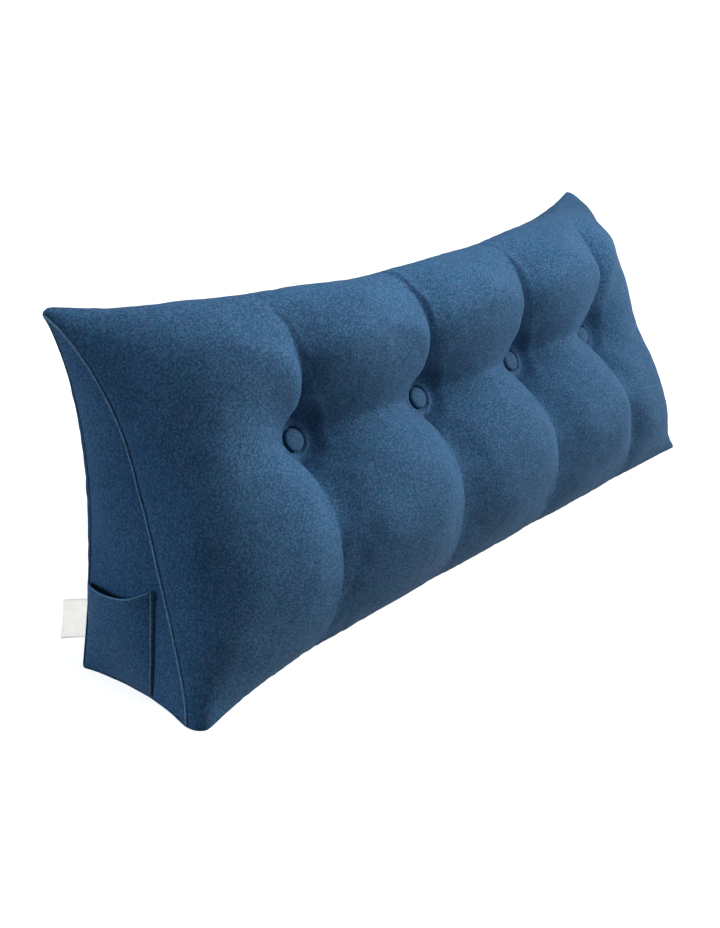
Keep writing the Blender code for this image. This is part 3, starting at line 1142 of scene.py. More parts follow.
@dataclass(frozen=True)
class ClothRelaxer:
    """A short cloth simulation of one panel between its seams and buttons."""

    pressure: float = 5.0
    slack: float = 0.008
    frames: int = 18
    cap: float = 0.012
    quality: int = 4
    cloth_mass: float = 0.3
    weave_stiffness: float = 18.0
    shear_stiffness: float = 6.0
    bending: float = 0.25
    weave_damping: float = 8.0
    shear_damping: float = 6.0
    bending_damping: float = 0.5
    air_damping: float = 4.0

    def relax(self, points: Grid, held: Grid) -> Grid:
        """Let a panel fill out and buckle.

        Args:
            points: The panel's grid of points.
            held: How firmly each point is held, 1 at seams and buttons.

        Returns:
            How far each point moves.
        """
        mesh = ClothMesh()
        numbers = mesh.new_points(points)
        mesh.add_faces(numbers, np.zeros((*numbers.shape, 2)))
        data = bpy.data.meshes.new("panel_at_rest")
        data.from_pydata(points.reshape(-1, 3), [], mesh.faces)
        panel = bpy.data.objects.new("panel_at_rest", data)
        bpy.context.scene.collection.objects.link(panel)
        self.hold(panel, held)
        self.tune(panel.modifiers.new("cloth", "CLOTH"))
        for step in range(1, self.frames + 1):
            bpy.context.scene.frame_set(step)
        shown = panel.evaluated_get(bpy.context.evaluated_depsgraph_get())
        moved = np.zeros(points.size, np.float32)
        shown.data.vertices.foreach_get("co", moved)
        bpy.data.objects.remove(panel)
        bpy.context.scene.frame_set(1)
        shift = moved.reshape(points.shape).astype(float) - points
        length = np.linalg.norm(shift, axis=-1, keepdims=True)
        return shift * np.minimum(1.0, self.cap / np.maximum(length, TINY))

    @staticmethod
    def hold(panel: bpy.types.Object, held: Grid) -> None:
        """Give a panel the group of points that hold it.

        Args:
            panel: The panel.
            held: How firmly each point is held.
        """
        group = panel.vertex_groups.new(name="held")
        rounded = np.round(held, 2).ravel()
        for weight in np.unique(rounded):
            if weight > 0.0:
                group.add(np.nonzero(rounded == weight)[0].tolist(), float(weight), "REPLACE")

    def tune(self, cloth: bpy.types.ClothModifier) -> None:
        """Set a cloth's stiffness, filling pressure and spare width.

        Args:
            cloth: The simulation.
        """
        settings = cloth.settings
        settings.quality = self.quality
        settings.mass = self.cloth_mass
        settings.tension_stiffness = self.weave_stiffness
        settings.compression_stiffness = self.weave_stiffness
        settings.shear_stiffness = self.shear_stiffness
        settings.bending_stiffness = self.bending
        settings.tension_damping = self.weave_damping
        settings.compression_damping = self.weave_damping
        settings.shear_damping = self.shear_damping
        settings.bending_damping = self.bending_damping
        settings.air_damping = self.air_damping
        settings.use_pressure = True
        settings.uniform_pressure_force = self.pressure
        settings.shrink_min = -self.slack
        settings.shrink_max = -self.slack
        settings.vertex_group_mass = "held"
        settings.pin_stiffness = 1.0
        settings.effector_weights.gravity = 0.0
        cloth.collision_settings.use_collision = False
        cloth.collision_settings.use_self_collision = False
        cloth.point_cache.frame_start = 1
        cloth.point_cache.frame_end = self.frames


@dataclass(frozen=True)
class SeamPuckers:
    """How a panel stands up beside its seams, puckers along them and is uneven between them."""

    puff: float = 0.0018
    puff_width: float = 0.007
    height: float = 0.0007
    length: float = 0.024
    start: float = 0.004
    reach: float = 0.022
    broad_height: float = 0.0022
    broad_length: float = 0.16
    broad_start: float = 0.09
    fine_height: float = 0.00045
    fine_length: float = 0.035
    fine_start: float = 0.02

    def relief(self, points: Grid, seed: int) -> Grid:
        """Work out how far a panel's cloth is raised.

        Args:
            points: The panel's grid of points.
            seed: Fixes the ripples.

        Returns:
            The height of each point.
        """
        along, down = arc_lengths(points, 0), arc_lengths(points, 1)
        away = edge_distance(points)
        near = np.exp(-away / self.reach) * smooth(away / self.start)
        puffed = self.puff * smooth(away / self.puff_width)
        puckers = self.height * near * ripples(along, down, self.length, seed)
        broad = ripples(along, down, self.broad_length, seed + 1) * smooth(away / self.broad_start)
        fine = ripples(along, down, self.fine_length, seed + 2) * smooth(away / self.fine_start)
        return puffed + puckers + self.broad_height * broad + self.fine_height * fine


@dataclass(frozen=True)
class ButtonGathers:
    """How the cloth lies round a button: pleats that run outwards, a raised collar, a narrow moat."""

    pleat_height: float = 0.00096
    pleat_counts: tuple[float, float] = (11.0, 17.0)
    second_share: float = 0.6
    pleat_start: tuple[float, float] = (0.019, 0.031)
    pleat_reach: float = 0.035
    seat_edge: tuple[float, float] = (0.018, 0.026)
    collar: float = 0.0050
    collar_radius: float = 0.0240
    collar_width: float = 0.0052
    moat: float = 0.0022
    moat_radius: float = 0.0182
    moat_width: float = 0.0020

    def pleats(self, form: PillowForm, points: Grid) -> Grid:
        """Work out the small pleats.

        Args:
            form: The pillow's form.
            points: The front's grid of points.

        Returns:
            The height of each point.
        """
        total = np.zeros(points.shape[:-1])
        first, second = self.pleat_counts
        for number, seat in enumerate(form.seats()):
            across, y, z = np.moveaxis(points - seat, -1, 0)
            turn = np.arctan2(-y * form.pull[1] + z * form.pull[0], across)
            away = np.linalg.norm(points - seat, axis=-1)
            wave = np.cos(first * turn + number)
            wave += self.second_share * np.cos(second * turn + 2.0 * number + 1.0)
            fade = ease(away, *self.pleat_start) * np.exp(-away / self.pleat_reach)
            total += self.pleat_height * wave * fade
        return total

    def seated(self, form: PillowForm, points: Grid, relief: Grid) -> Grid:
        """Level the cloth under each button, and raise it round the button.

        Args:
            form: The pillow's form.
            points: The front's grid of points.
            relief: The height of each point.

        Returns:
            The new heights.
        """
        for seat in form.seats():
            away = np.linalg.norm(points - seat, axis=-1)
            relief = relief * ease(away, *self.seat_edge)
            relief = relief + self.collar * hill(away - self.collar_radius, self.collar_width)
            relief = relief - self.moat * hill(away - self.moat_radius, self.moat_width)
        return relief


@dataclass(frozen=True)
class RidgeFolds:
    """The sharp fold down each upper crease, where the cloth bends over the ridge, and fine ones beside it.

    A fold has a raised lip on its right. It comes up within one span of v, fades out within another and
    drifts sideways within a third.
    """

    strengths: tuple[float, ...] = (0.25, 1.0, 0.55, 0.35)
    starts: tuple[float, float] = (0.09, 0.14)
    ends: tuple[float, float] = (0.33, 0.43)
    drift: tuple[float, float] = (0.009, -0.002)
    drift_span: tuple[float, float] = (0.18, 0.32)
    depth: float = 0.0032
    width: float = 0.0035
    lip_share: float = 0.8
    lip_away: float = 0.0085
    fine_height: float = 0.0010
    fine_pitch: float = 0.019
    fine_shift: float = 0.16
    fine_reach: float = 0.026

    def relief(self, form: PillowForm, points: Grid, v: Grid) -> Grid:
        """Work out the folds.

        Args:
            form: The pillow's form.
            points: The front's grid of points.
            v: From 0 at the ridge to 1 at the foot.

        Returns:
            The height of each point.
        """
        total = np.zeros(v.shape)
        shown = ease(v, *self.starts) * (1.0 - ease(v, *self.ends))
        drift = mix(*self.drift, ease(v, *self.drift_span))
        for number, (place, strength) in enumerate(zip(form.button_places, self.strengths)):
            across = points[..., 0] - place + drift
            wave = np.cos(2.0 * np.pi * (across / self.fine_pitch + self.fine_shift * number))
            fine = wave * np.exp(-np.abs(across) / self.fine_reach)
            sharp = self.lip_share * hill(across - self.lip_away, self.width) - hill(across, self.width)
            total += strength * shown * (self.fine_height * fine + self.depth * sharp)
        return total


@dataclass
class StuffedCover:
    """The filled cover: five panels sewn edge to edge, with folds, pleats at the buttons and puckers."""

    form: PillowForm
    cloth: MelangeCloth
    relaxer: ClothRelaxer = ClothRelaxer()
    puckers: SeamPuckers = SeamPuckers()
    gathers: ButtonGathers = ButtonGathers()
    ridge_folds: RidgeFolds = RidgeFolds()
    front_seed: int = 11
    back_seed: int = 23
    gusset_seed: int = 31
    gusset_relief: float = 0.0003
    gusset_start: float = 0.05
    # mesh
    span_columns: int = 60
    end_columns: int = 50
    rows: int = 68
    base_rows: int = 20
    corner_steps: tuple[float, ...] = (0.0006, 0.0015)
    crowding: float = 0.45
    # how firmly the front is held while it relaxes
    button_hold: tuple[float, float] = (0.018, 0.032)
    crease_hold: float = 0.5
    crease_hold_span: tuple[float, float] = (0.2, 0.7)
    # how much of its folds stays
    broad_passes: int = 60
    sewn_width: float = 0.020
    fold_reach: float = 0.035
    taut_share: float = 0.07
    seam_share: float = 0.22
    crease_share: float = 0.20
    crease_end: tuple[float, float] = (0.5, 0.8)

    def columns(self) -> Grid:
        """Space the columns of points, closer together at the buttons and ends.

        Returns:
            The u of every column, left to right.
        """
        places = [-self.form.waist_half, *self.form.button_places, self.form.waist_half]
        between = [self.span_columns] * (self.form.button_count - 1)
        counts = [self.end_columns, *between, self.end_columns]
        spans = [
            mix(low, high, crowded(count, self.crowding))
            for low, high, count in zip(places, places[1:], counts)
        ]
        corner = -self.form.waist_half + np.array(self.corner_steps)
        every = np.concatenate([spans[0], corner, *(span[1:] for span in spans[1:])])
        return np.sort(every) / self.form.waist_half

    def lines(self) -> Grid:
        """The v of every row of points, ridge to foot."""
        share = crowded(self.rows, self.crowding)
        return np.concatenate([self.form.button_row * share, mix(self.form.button_row, 1.0, share)[1:]])

    def held_front(self, points: Grid, u: Grid, v: Grid) -> Grid:
        """Work out how firmly the front is held while it relaxes.

        Args:
            points: The front's grid of points.
            u: From -1 at the left gusset to 1 at the right one.
            v: From 0 at the ridge to 1 at the foot.

        Returns:
            A share for each point, 1 at the seams and under the buttons.
        """
        held = np.zeros(u.shape)
        for seat in self.form.seats():
            away = np.linalg.norm(points - seat, axis=-1)
            held = np.maximum(held, 1.0 - ease(away, *self.button_hold))
        groove = self.form.crease(u, v) / self.form.tuft_depth
        held = np.maximum(held, self.crease_hold * ease(groove, *self.crease_hold_span))
        held[[0, -1], :] = 1.0
        held[:, [0, -1]] = 1.0
        return held

    def fold_share(self, points: Grid, u: Grid, v: Grid) -> Grid:
        """Work out how much of the folds stays: most near the seams and creases, little on the taut lobes.

        Args:
            points: The front's grid of points.
            u: From -1 at the left gusset to 1 at the right one.
            v: From 0 at the ridge to 1 at the foot.

        Returns:
            A share for each point, 0 in the seams.
        """
        away = edge_distance(points)
        seams = np.exp(-away / self.fold_reach)
        creases = np.exp(-self.form.nearest_button(u) / self.fold_reach) * (1.0 - ease(v, *self.crease_end))
        kept = self.taut_share + self.seam_share * seams + self.crease_share * creases
        return smooth(away / self.sewn_width) * kept

    def folds(self, points: Grid, held: Grid) -> Grid:
        """Relax a panel and keep its folds, without the broad swelling that its form already has.

        Args:
            points: The panel's grid of points.
            held: How firmly each point is held.

        Returns:
            How far each point moves.
        """
        shift = self.relaxer.relax(points, held)
        folded = shift - blurred(shift, self.broad_passes)
        for name, part in (("moved", shift), ("folded", folded)):
            length = np.linalg.norm(part, axis=-1) * MILLIMETRES
            log.info("%s: mean %.2f mm, most %.2f mm", name, length.mean(), length.max())
        return folded

    def front_points(self, u: Grid, v: Grid) -> Grid:
        """Finish the front panel.

        Args:
            u: From -1 at the left gusset to 1 at the right one.
            v: From 0 at the ridge to 1 at the foot.

        Returns:
            Its points.
        """
        points = self.form.front(u, v)
        folds = self.folds(points, self.held_front(points, u, v))
        points = points + folds * self.fold_share(points, u, v)[..., None]
        normals = normals_of(points)
        outward = -normals * np.sign(normals[..., 1:2].mean())
        relief = self.puckers.relief(points, self.front_seed)
        relief = relief + self.gathers.pleats(self.form, points)
        relief = relief + self.ridge_folds.relief(self.form, points, v)
        relief = self.gathers.seated(self.form, points, relief)
        return self.keep_edges(points, outward * relief[..., None])

    def back_points(self, u: Grid, v: Grid) -> Grid:
        """Finish the back panel.

        Args:
            u: From -1 at the left gusset to 1 at the right one.
            v: From 0 at the ridge to 1 at the foot.

        Returns:
            Its points.
        """
        points = self.form.back(u, v)
        normals = normals_of(points)
        outward = normals * np.sign(normals[..., 1:2].mean())
        return self.keep_edges(points, outward * self.puckers.relief(points, self.back_seed)[..., None])

    def gusset_points(self, end: int, w: Grid, v: Grid) -> Grid:
        """Finish a gusset.

        Args:
            end: -1 for the left one, +1 for the right one.
            w: From 0 at the front seam to 1 at the back seam.
            v: From 0 at the ear to 1 at the base.

        Returns:
            Its points.
        """
        points = self.form.gusset(end, w, v)
        raised = self.puckers.relief(points, self.gusset_seed + end)
        raised = np.clip(raised, -self.gusset_relief, self.gusset_relief)
        points[..., 0] += end * raised * smooth(v / self.gusset_start)
        return points

    @staticmethod
    def keep_edges(points: Grid, shift: Grid) -> Grid:
        """Move a panel's points, but not those in its seams.

        Args:
            points: The panel's grid of points.
            shift: How far each point would move.

        Returns:
            The moved points.
        """
        shift[[0, -1], :] = 0.0
        shift[:, [0, -1]] = 0.0
        return points + shift

    def build(self) -> bpy.types.Object:
        """Sew the panels into one closed piece.

        Returns:
            The cover.
        """
        mesh = ClothMesh()
        u, v = np.meshgrid(self.columns(), self.lines(), indexing="ij")
        front_points, back_points = self.front_points(u, v), self.back_points(u, v)
        front = mesh.new_points(front_points)
        mesh.add_faces(front, cloth_places(front_points), Panel.FRONT.value)
        back = np.empty_like(front)
        back[[0, -1], 1:] = mesh.new_points(back_points[[0, -1], 1:])
        back[1:-1, 1:] = mesh.new_points(back_points[1:-1, 1:])
        back[:, 0] = front[:, 0]
        mesh.add_faces(back, cloth_places(back_points), Panel.BACK.value)
        across = np.linspace(0.0, 1.0, self.base_rows + 1)
        along, w = np.meshgrid(self.columns(), across, indexing="ij")
        base_points = self.form.base(along, w)
        base = np.empty(along.shape, int)
        base[:, 0], base[:, -1] = front[:, -1], back[:, -1]
        base[:, 1:-1] = mesh.new_points(base_points[:, 1:-1])
        mesh.add_faces(base, cloth_places(base_points), Panel.BASE.value)
        w, v = np.meshgrid(across, self.lines(), indexing="ij")
        for end, side, panel in ((-1, 0, Panel.GUSSET_LEFT), (1, -1, Panel.GUSSET_RIGHT)):
            points = self.gusset_points(end, w, v)
            gusset = np.empty(w.shape, int)
            gusset[1:-1, 1:-1] = mesh.new_points(points[1:-1, 1:-1])
            gusset[0, :], gusset[-1, :] = front[side, :], back[side, :]
            gusset[:, -1] = base[side, :]
            gusset[:, 0] = front[side, 0]
            mesh.add_faces(gusset, cloth_places(points), panel.value)
        cover = mesh.object("stuffed_cover", [self.cloth.material()] * len(Panel))
        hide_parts("pillow")
        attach(cover, "root")
        return cover


@dataclass
class SeamWelts:
    """The narrow turned edges that stand up along the seams. The two front ones are in a paler copy of the
    cover cloth, a painted highlight where their edges catch the light.
    """

    form: PillowForm
    # The paler cloth is a painted highlight on the front welts, and partly wear, partly painted highlight on
    # the pocket's edges.
    highlight_and_wear_cloth: MelangeCloth
    plain_cloth: MelangeCloth
    highlit_radius: float = 0.0020
    highlit_lift: float = 0.6
    plain_radius: float = 0.0011
    plain_lift: float = 0.3
    wobble: float = 0.0005
    wobble_lengths: tuple[float, float] = (0.011, 0.027)
    core_height: float = 0.45
    core_share: float = 0.35
    tip_steps: float = 2.0
    tip_share: float = 0.15
    floor_share: float = 1.02
    sides: int = 8
    steps: int = 200

    def highlit_lines(self) -> dict[str, Callable[[Grid], Grid]]:
        """List the two front gusset seams, whose welts take the paler cloth with the painted highlight.

        Returns:
            For each welt's name, its line's points from shares of 0 to 1.
        """
        form = self.form
        return {
            "welt_front_left": lambda t: form.front(np.full_like(t, -1.0), t),
            "welt_front_right": lambda t: form.front(np.full_like(t, 1.0), t),
        }

    def plain_lines(self) -> dict[str, Callable[[Grid], Grid]]:
        """List the other seams.

        Returns:
            For each welt's name, its line's points from shares of 0 to 1.
        """
        form = self.form
        return {
            "welt_back_left": lambda t: form.back(np.full_like(t, -1.0), t),
            "welt_back_right": lambda t: form.back(np.full_like(t, 1.0), t),
            "welt_ridge": lambda t: form.front(2.0 * t - 1.0, np.zeros_like(t)),
            "welt_foot_front": lambda t: form.base(2.0 * t - 1.0, np.zeros_like(t)),
            "welt_foot_back": lambda t: form.base(2.0 * t - 1.0, np.ones_like(t)),
            "welt_foot_left": lambda t: form.base(np.full_like(t, -1.0), t),
            "welt_foot_right": lambda t: form.base(np.full_like(t, 1.0), t),
        }

    def outward(self, line: Grid, along: Grid) -> Grid:
        """Find the way out of the filling, away from its core and square to a seam.

        Args:
            line: The seam's points.
            along: The seam's direction at each point.

        Returns:
            A unit direction for each point.
        """
        out = line - np.array([0.0, 0.0, self.form.height * self.core_height])
        out[:, 0] *= self.core_share
        return unit(out - np.sum(out * along, axis=-1, keepdims=True) * along)

    def tube(self, line: Grid, size: float, lift: float) -> tuple[Grid, Grid]:
        """Work out a thin tube along a line.

        Args:
            line: The line's points.
            size: The tube's radius.
            lift: How far it stands out of the line.

        Returns:
            Its rings of points, and their places in the cloth.
        """
        along = unit(np.gradient(line, axis=0))
        out = self.outward(line, along)
        side = np.cross(along, out)
        turn = np.linspace(0.0, 2.0 * np.pi, self.sides + 1)
        numbers = np.arange(len(line))
        ends = np.clip(np.minimum(numbers, numbers[::-1]) / self.tip_steps, self.tip_share, 1.0)
        length = arc_lengths(line[:, None, :], 0)
        slow, fast = self.wobble_lengths
        uneven = self.wobble * np.sin(length / slow) * np.sin(length / fast + 1.0)
        centre = line + out * lift + side * uneven
        centre[:, 2] = np.maximum(centre[:, 2], size * self.floor_share)
        places = np.stack(np.broadcast_arrays(length, size * turn[None, :]), axis=-1)
        return rings_round(centre, size * ends, out, side, turn), places

    def lay(self, name: str, tube: tuple[Grid, Grid], material: bpy.types.Material) -> bpy.types.Object:
        """Make one tube into a piece.

        Args:
            name: The piece's name.
            tube: Its rings of points, and their places in the cloth.
            material: Its material.

        Returns:
            The piece.
        """
        mesh = ClothMesh()
        mesh.add_tube(*tube)
        piece = mesh.object(name, [material])
        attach(piece, "root")
        return piece

    def build(self) -> list[bpy.types.Object]:
        """Make a welt on every seam.

        Returns:
            The welts.
        """
        share = np.linspace(0.0, 1.0, self.steps)
        # The front welts take the paler cloth, a painted highlight; the other seams take the cover's own
        # cloth.
        groups = (
            (self.highlit_lines(), self.highlight_and_wear_cloth, self.highlit_radius, self.highlit_lift),
            (self.plain_lines(), self.plain_cloth, self.plain_radius, self.plain_lift),
        )
        made = []
        for lines, cloth, size, lift in groups:
            material = cloth.material()
            for name, line in lines.items():
                made.append(self.lay(name, self.tube(line(share), size, lift * size), material))
        return made


@dataclass
class CoveredButton:
    """A button covered with the pillow's cloth, sunk in its tuft."""

    form: PillowForm
    cloth: MelangeCloth
    radius: float = 0.0165
    high: float = 0.0095
    rim_high: float = 0.0045
    gap: float = 0.0003
    dome_steps: int = 15
    dome_power: float = 0.6
    under_radii: tuple[float, ...] = (0.998, 0.985, 0.955, 0.90, 0.5)
    under_heights: tuple[float, ...] = (0.70, 0.40, 0.15, 0.0, 0.0)
    sides: int = 64
    gathers: int = 22
    gather_height: float = 0.00022
    gather_start: tuple[float, float] = (0.75, 0.95)
    cloth_growth: float = 0.15

    def profile(self) -> Grid:
        """Draw the button's outline.

        Returns:
            Points from its middle over the rim to its foot, as (radius, height).
        """
        turn = np.linspace(0.0, np.pi / 2.0, self.dome_steps)
        dome = np.stack([np.sin(turn), np.zeros_like(turn)], axis=-1) * self.radius
        dome[:, 1] = mix(self.rim_high, self.high, np.cos(turn) ** self.dome_power)
        under = np.stack([self.under_radii, self.under_heights], axis=-1)
        return np.concatenate([dome, under * np.array([self.radius, self.rim_high])])

    def build(self, number: int, seat: Grid) -> bpy.types.Object:
        """Make one button on its seat.

        Args:
            number: 1 to 4, left to right.
            seat: The middle of its seat.

        Returns:
            The button.
        """
        profile = self.profile()
        turn = np.linspace(0.0, 2.0 * np.pi, self.sides + 1)[:-1]
        radius, height = profile[1:, :1], profile[1:, 1:]
        gathered = np.cos(self.gathers * turn + number)[None, :]
        radius = radius + self.gather_height * gathered * ease(radius / self.radius, *self.gather_start)
        across, up = radius * np.cos(turn), radius * np.sin(turn)
        depth = np.broadcast_to(height, across.shape)
        out = -np.array([0.0, *self.form.pull])
        upward = np.array([0.0, -self.form.pull[1], self.form.pull[0]])
        sideways = np.array([1.0, 0.0, 0.0])
        foot = seat + out * self.gap
        points = foot + across[..., None] * sideways + up[..., None] * upward + depth[..., None] * out
        mesh = ClothMesh()
        numbers = closed(mesh.new_points(points))
        middle = mesh.new_points((foot + profile[0, 1] * out)[None])[0]
        under = mesh.new_points(foot[None])[0]
        flat = closed(np.stack([across, up], axis=-1) * (1.0 + self.cloth_growth * number))
        mesh.add_faces(numbers, flat)
        for ring, centre, places in ((numbers[0], middle, flat[0]), (numbers[-1], under, flat[-1])):
            for k in range(self.sides):
                corners = np.stack([places[k], places[k + 1], np.zeros(2)])
                mesh.add_face([ring[k], ring[k + 1], centre], corners)
        button = mesh.object(f"covered_button_{number}", [self.cloth.material()])
        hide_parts(f"button_{number}")
        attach(button, "root")
        return button


@dataclass
class SidePocket:
    """The hemmed patch pocket on the left gusset, sewn down on three sides."""

    form: PillowForm
    cloth: MelangeCloth
    thread: SewingThread
    welts: SeamWelts
    front_top: float = 0.09
    front_foot: float = 0.373
    mouth_front: float = 0.695
    mouth_back: float = 0.760
    mouth_dip: float = 0.016
    dip_peak: float = 6.75
    foot: float = 0.990
    back: float = 0.975
    pouch: float = 0.014
    pouch_powers: tuple[float, float] = (0.7, 0.8)
    wave_height: float = 0.0007
    wave_turns: tuple[float, float] = (9.0, 5.0)
    thick: float = 0.0020
    gap: float = 0.0008
    # mesh, as shares of the pocket's height and as counts
    mouth_rows: tuple[float, ...] = (0.0, 0.004, 0.012)
    rows_from: float = 0.03
    rows: int = 44
    columns: int = 57
    # hem and edges
    hem: float = 0.012
    hem_thick: float = 0.0012
    hem_step: float = 0.0015
    hem_radius: float = 0.0011
    rim_share: float = 0.45
    rim_width: float = 0.0022
    side_start: float = 0.0004
    mouth_start: float = 0.0008
    # stitching
    stitch_inset: float = 0.0040
    side_groove: float = 0.0006
    hem_groove: float = 0.0005
    groove_width: float = 0.0012
    stitch_pitch: float = 0.0042
    stitch_radius: float = 0.00035
    stitch_sides: int = 6
    stitch_places: tuple[float, ...] = (-0.36, -0.18, 0.18, 0.36)
    stitch_sizes: tuple[float, ...] = (0.3, 1.0, 1.0, 0.3)
    stitch_lifts: tuple[float, ...] = (-0.6, 0.35, 0.35, -0.6)

    def surface(self, a: Grid, b: Grid, lift: Grid | float) -> Grid:
        """Place points of the pocket at a height above its inner face.

        Args:
            a: From 0 at its front edge to 1 at its back edge.
            b: From 0 at the mouth to 1 at the foot.
            lift: How far out of the inner face.

        Returns:
            The points.
        """
        dip = self.mouth_dip * self.dip_peak * a * (1.0 - a) ** 2
        mouth = mix(self.mouth_front, self.mouth_back, a) + dip
        v = mix(mouth, self.foot, b)
        w = mix(mix(self.front_top, self.front_foot, b), self.back, a)
        out = self.form.gusset_outward(w, v)
        across, down = self.pouch_powers
        bowed = np.clip(4.0 * a * (1.0 - a), 0.0, 1.0) ** across
        pouch = self.pouch * bowed * (1.0 - np.clip(b, 0.0, 1.0) ** 2) ** down
        waves = np.sin(self.wave_turns[0] * a + self.wave_turns[1] * b)
        waves = self.wave_height * bowed * waves * (1.0 - b)
        return self.form.gusset(-1, w, v) + out * (self.gap + pouch + waves + lift)[..., None]

    def outer_lift(self, inner: Grid) -> Grid:
        """Work out how far the outer face stands out: the cloth, its hem, its rim and its sewn grooves.

        Args:
            inner: The inner face's grid of points.

        Returns:
            The thickness at each point.
        """
        across, from_mouth = arc_lengths(inner, 0), arc_lengths(inner, 1)
        edge = np.minimum(across, across[-1:] - across)
        edge = np.minimum(edge, from_mouth[:, -1:] - from_mouth)
        hemmed = self.hem_thick * (1.0 - smooth((from_mouth - self.hem) / self.hem_step))
        rounded = smooth((edge + self.side_start) / self.rim_width)
        rounded = rounded * smooth((from_mouth + self.mouth_start) / self.rim_width)
        sewn = self.side_groove * hill(edge - self.stitch_inset, self.groove_width)
        sewn = sewn + self.hem_groove * hill(from_mouth - self.hem, self.groove_width)
        return mix(self.rim_share, 1.0, rounded) * (self.thick + hemmed) - sewn

    def build(self) -> bpy.types.Object:
        """Make the pocket, its stitching and its pale turned edges, pale partly from wear and partly as a
        painted highlight.

        Returns:
            The pocket.
        """
        down = np.concatenate([self.mouth_rows, np.linspace(self.rows_from, 1.0, self.rows)])
        a, b = np.meshgrid(np.linspace(0.0, 1.0, self.columns), down, indexing="ij")
        inner = self.surface(a, b, np.zeros_like(a))
        outer = self.surface(a, b, self.outer_lift(inner))
        mesh = ClothMesh()
        mesh.add_sheet((inner, outer), cloth_places(inner), self.thick)
        pocket = mesh.object("hemmed_pocket", [self.cloth.material()])
        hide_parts("side_pocket")
        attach(pocket, "root")
        self.stitch(outer)
        # The hem and side edges take the paler welt cloth: partly wear, partly painted highlight.
        pale = self.welts.highlight_and_wear_cloth.material()
        for name, line in (("pocket_hem", outer[1:-1, 1]), ("pocket_side", outer[1, 1:-1])):
            self.welts.lay(name, self.welts.tube(line, self.hem_radius, 0.0), pale)
        return pocket

    def stitch(self, outer: Grid) -> bpy.types.Object:
        """Sew the pocket down and its hem up, with short separate stitches.

        Args:
            outer: The outer face's grid of points.

        Returns:
            The stitches.
        """
        height = arc_lengths(outer, 1)[:, -1].mean()
        inset = self.stitch_inset / arc_lengths(outer, 0)[-1].mean()
        mesh = ClothMesh()
        for share in (inset, 1.0 - inset):
            self.add_stitches(mesh, self.line_down(outer, share))
        for share in (1.0 - self.stitch_inset / height, self.hem / height):
            self.add_stitches(mesh, self.line_across(outer, share))
        sewn = mesh.object("pocket_stitching", [self.thread.material()])
        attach(sewn, "root")
        return sewn

    @staticmethod
    def line_down(outer: Grid, share: float) -> Grid:
        """Draw a line from the mouth to the foot.

        Args:
            outer: The outer face's grid of points.
            share: Where it is, from 0 at the front edge to 1 at the back edge.

        Returns:
            Its points.
        """
        place = share * (outer.shape[0] - 1)
        low = min(int(place), outer.shape[0] - 2)
        return mix(outer[low], outer[low + 1], place - low)

    @staticmethod
    def line_across(outer: Grid, share: float) -> Grid:
        """Draw a line from the front edge to the back edge.

        Args:
            outer: The outer face's grid of points.
            share: Where it is, from 0 at the mouth to 1 at the foot.

        Returns:
            Its points.
        """
        lengths = arc_lengths(outer, 1)
        return np.array([points_along(share * own[-1], own, line) for line, own in zip(outer, lengths)])

    def add_stitches(self, mesh: ClothMesh, line: Grid) -> None:
        """Lay stitches a pitch apart along a line.

        Args:
            mesh: The mesh that they go into.
            line: The line's points.
        """
        length = arc_lengths(line[:, None, :], 0)[:, 0]
        turn = np.linspace(0.0, 2.0 * np.pi, self.stitch_sides + 1)
        sizes = self.stitch_radius * np.array(self.stitch_sizes)
        for number in range(1, int(length[-1] / self.stitch_pitch)):
            ends = (number + np.array(self.stitch_places)) * self.stitch_pitch
            path = points_along(ends, length, line)
            along = unit(path[-1] - path[0])
            side = unit(np.cross(along, np.array([-1.0, 0.0, 0.0])))
            out = np.cross(side, along)
            path = path + out * self.stitch_radius * np.array(self.stitch_lifts)[:, None]
            places = np.broadcast_arrays(ends[:, None], self.stitch_radius * turn[None, :])
            mesh.add_tube(rings_round(path, sizes, out, side, turn), np.stack(places, axis=-1))


@dataclass
class SewnLabel:
    """The blank tape label that stands out of the left back seam."""

    form: PillowForm
    tape: LabelTape
    low: float = 0.042
    high: float = 0.095
    long: float = 0.034
    thick: float = 0.0010
    curl: float = 0.004
    ripple: float = 0.0012
    ripple_turns: tuple[float, float] = (4.5, 2.0)
    away: float = math.radians(128.0)
    gap: float = 0.0005
    edge_width: float = 0.04
    edge_share: float = 0.7
    columns: int = 25
    rows: int = 29

    def build(self) -> bpy.types.Object:
        """Make the label.

        Returns:
            The label.
        """
        shares = (np.linspace(0.0, 1.0, count) for count in (self.columns, self.rows))
        out, height = np.meshgrid(*shares, indexing="ij")
        v = 1.0 - mix(self.low, self.high, height) / self.form.height
        seam = self.form.back(np.full_like(v, -1.0), v)
        outward = np.array([math.cos(self.away), math.sin(self.away), 0.0])
        side = np.array([-math.sin(self.away), math.cos(self.away), 0.0])
        wave = np.sin(self.ripple_turns[0] * height + self.ripple_turns[1] * out)
        bent = self.curl * out ** 2 + self.ripple * out * wave
        middle = seam + (self.gap + self.long * out)[..., None] * outward + bent[..., None] * side
        at_edge = np.minimum(height, 1.0 - height) < self.edge_width
        half = (self.thick / 2.0 * np.where(at_edge, self.edge_share, 1.0))[..., None] * side
        places = np.stack([self.long * out, mix(self.low, self.high, height)], axis=-1)
        mesh = ClothMesh()
        mesh.add_sheet((middle + half, middle - half), places, self.thick)
        label = mesh.object("blank_label", [self.tape.material()])
        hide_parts("label")
        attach(label, "root")
        return label


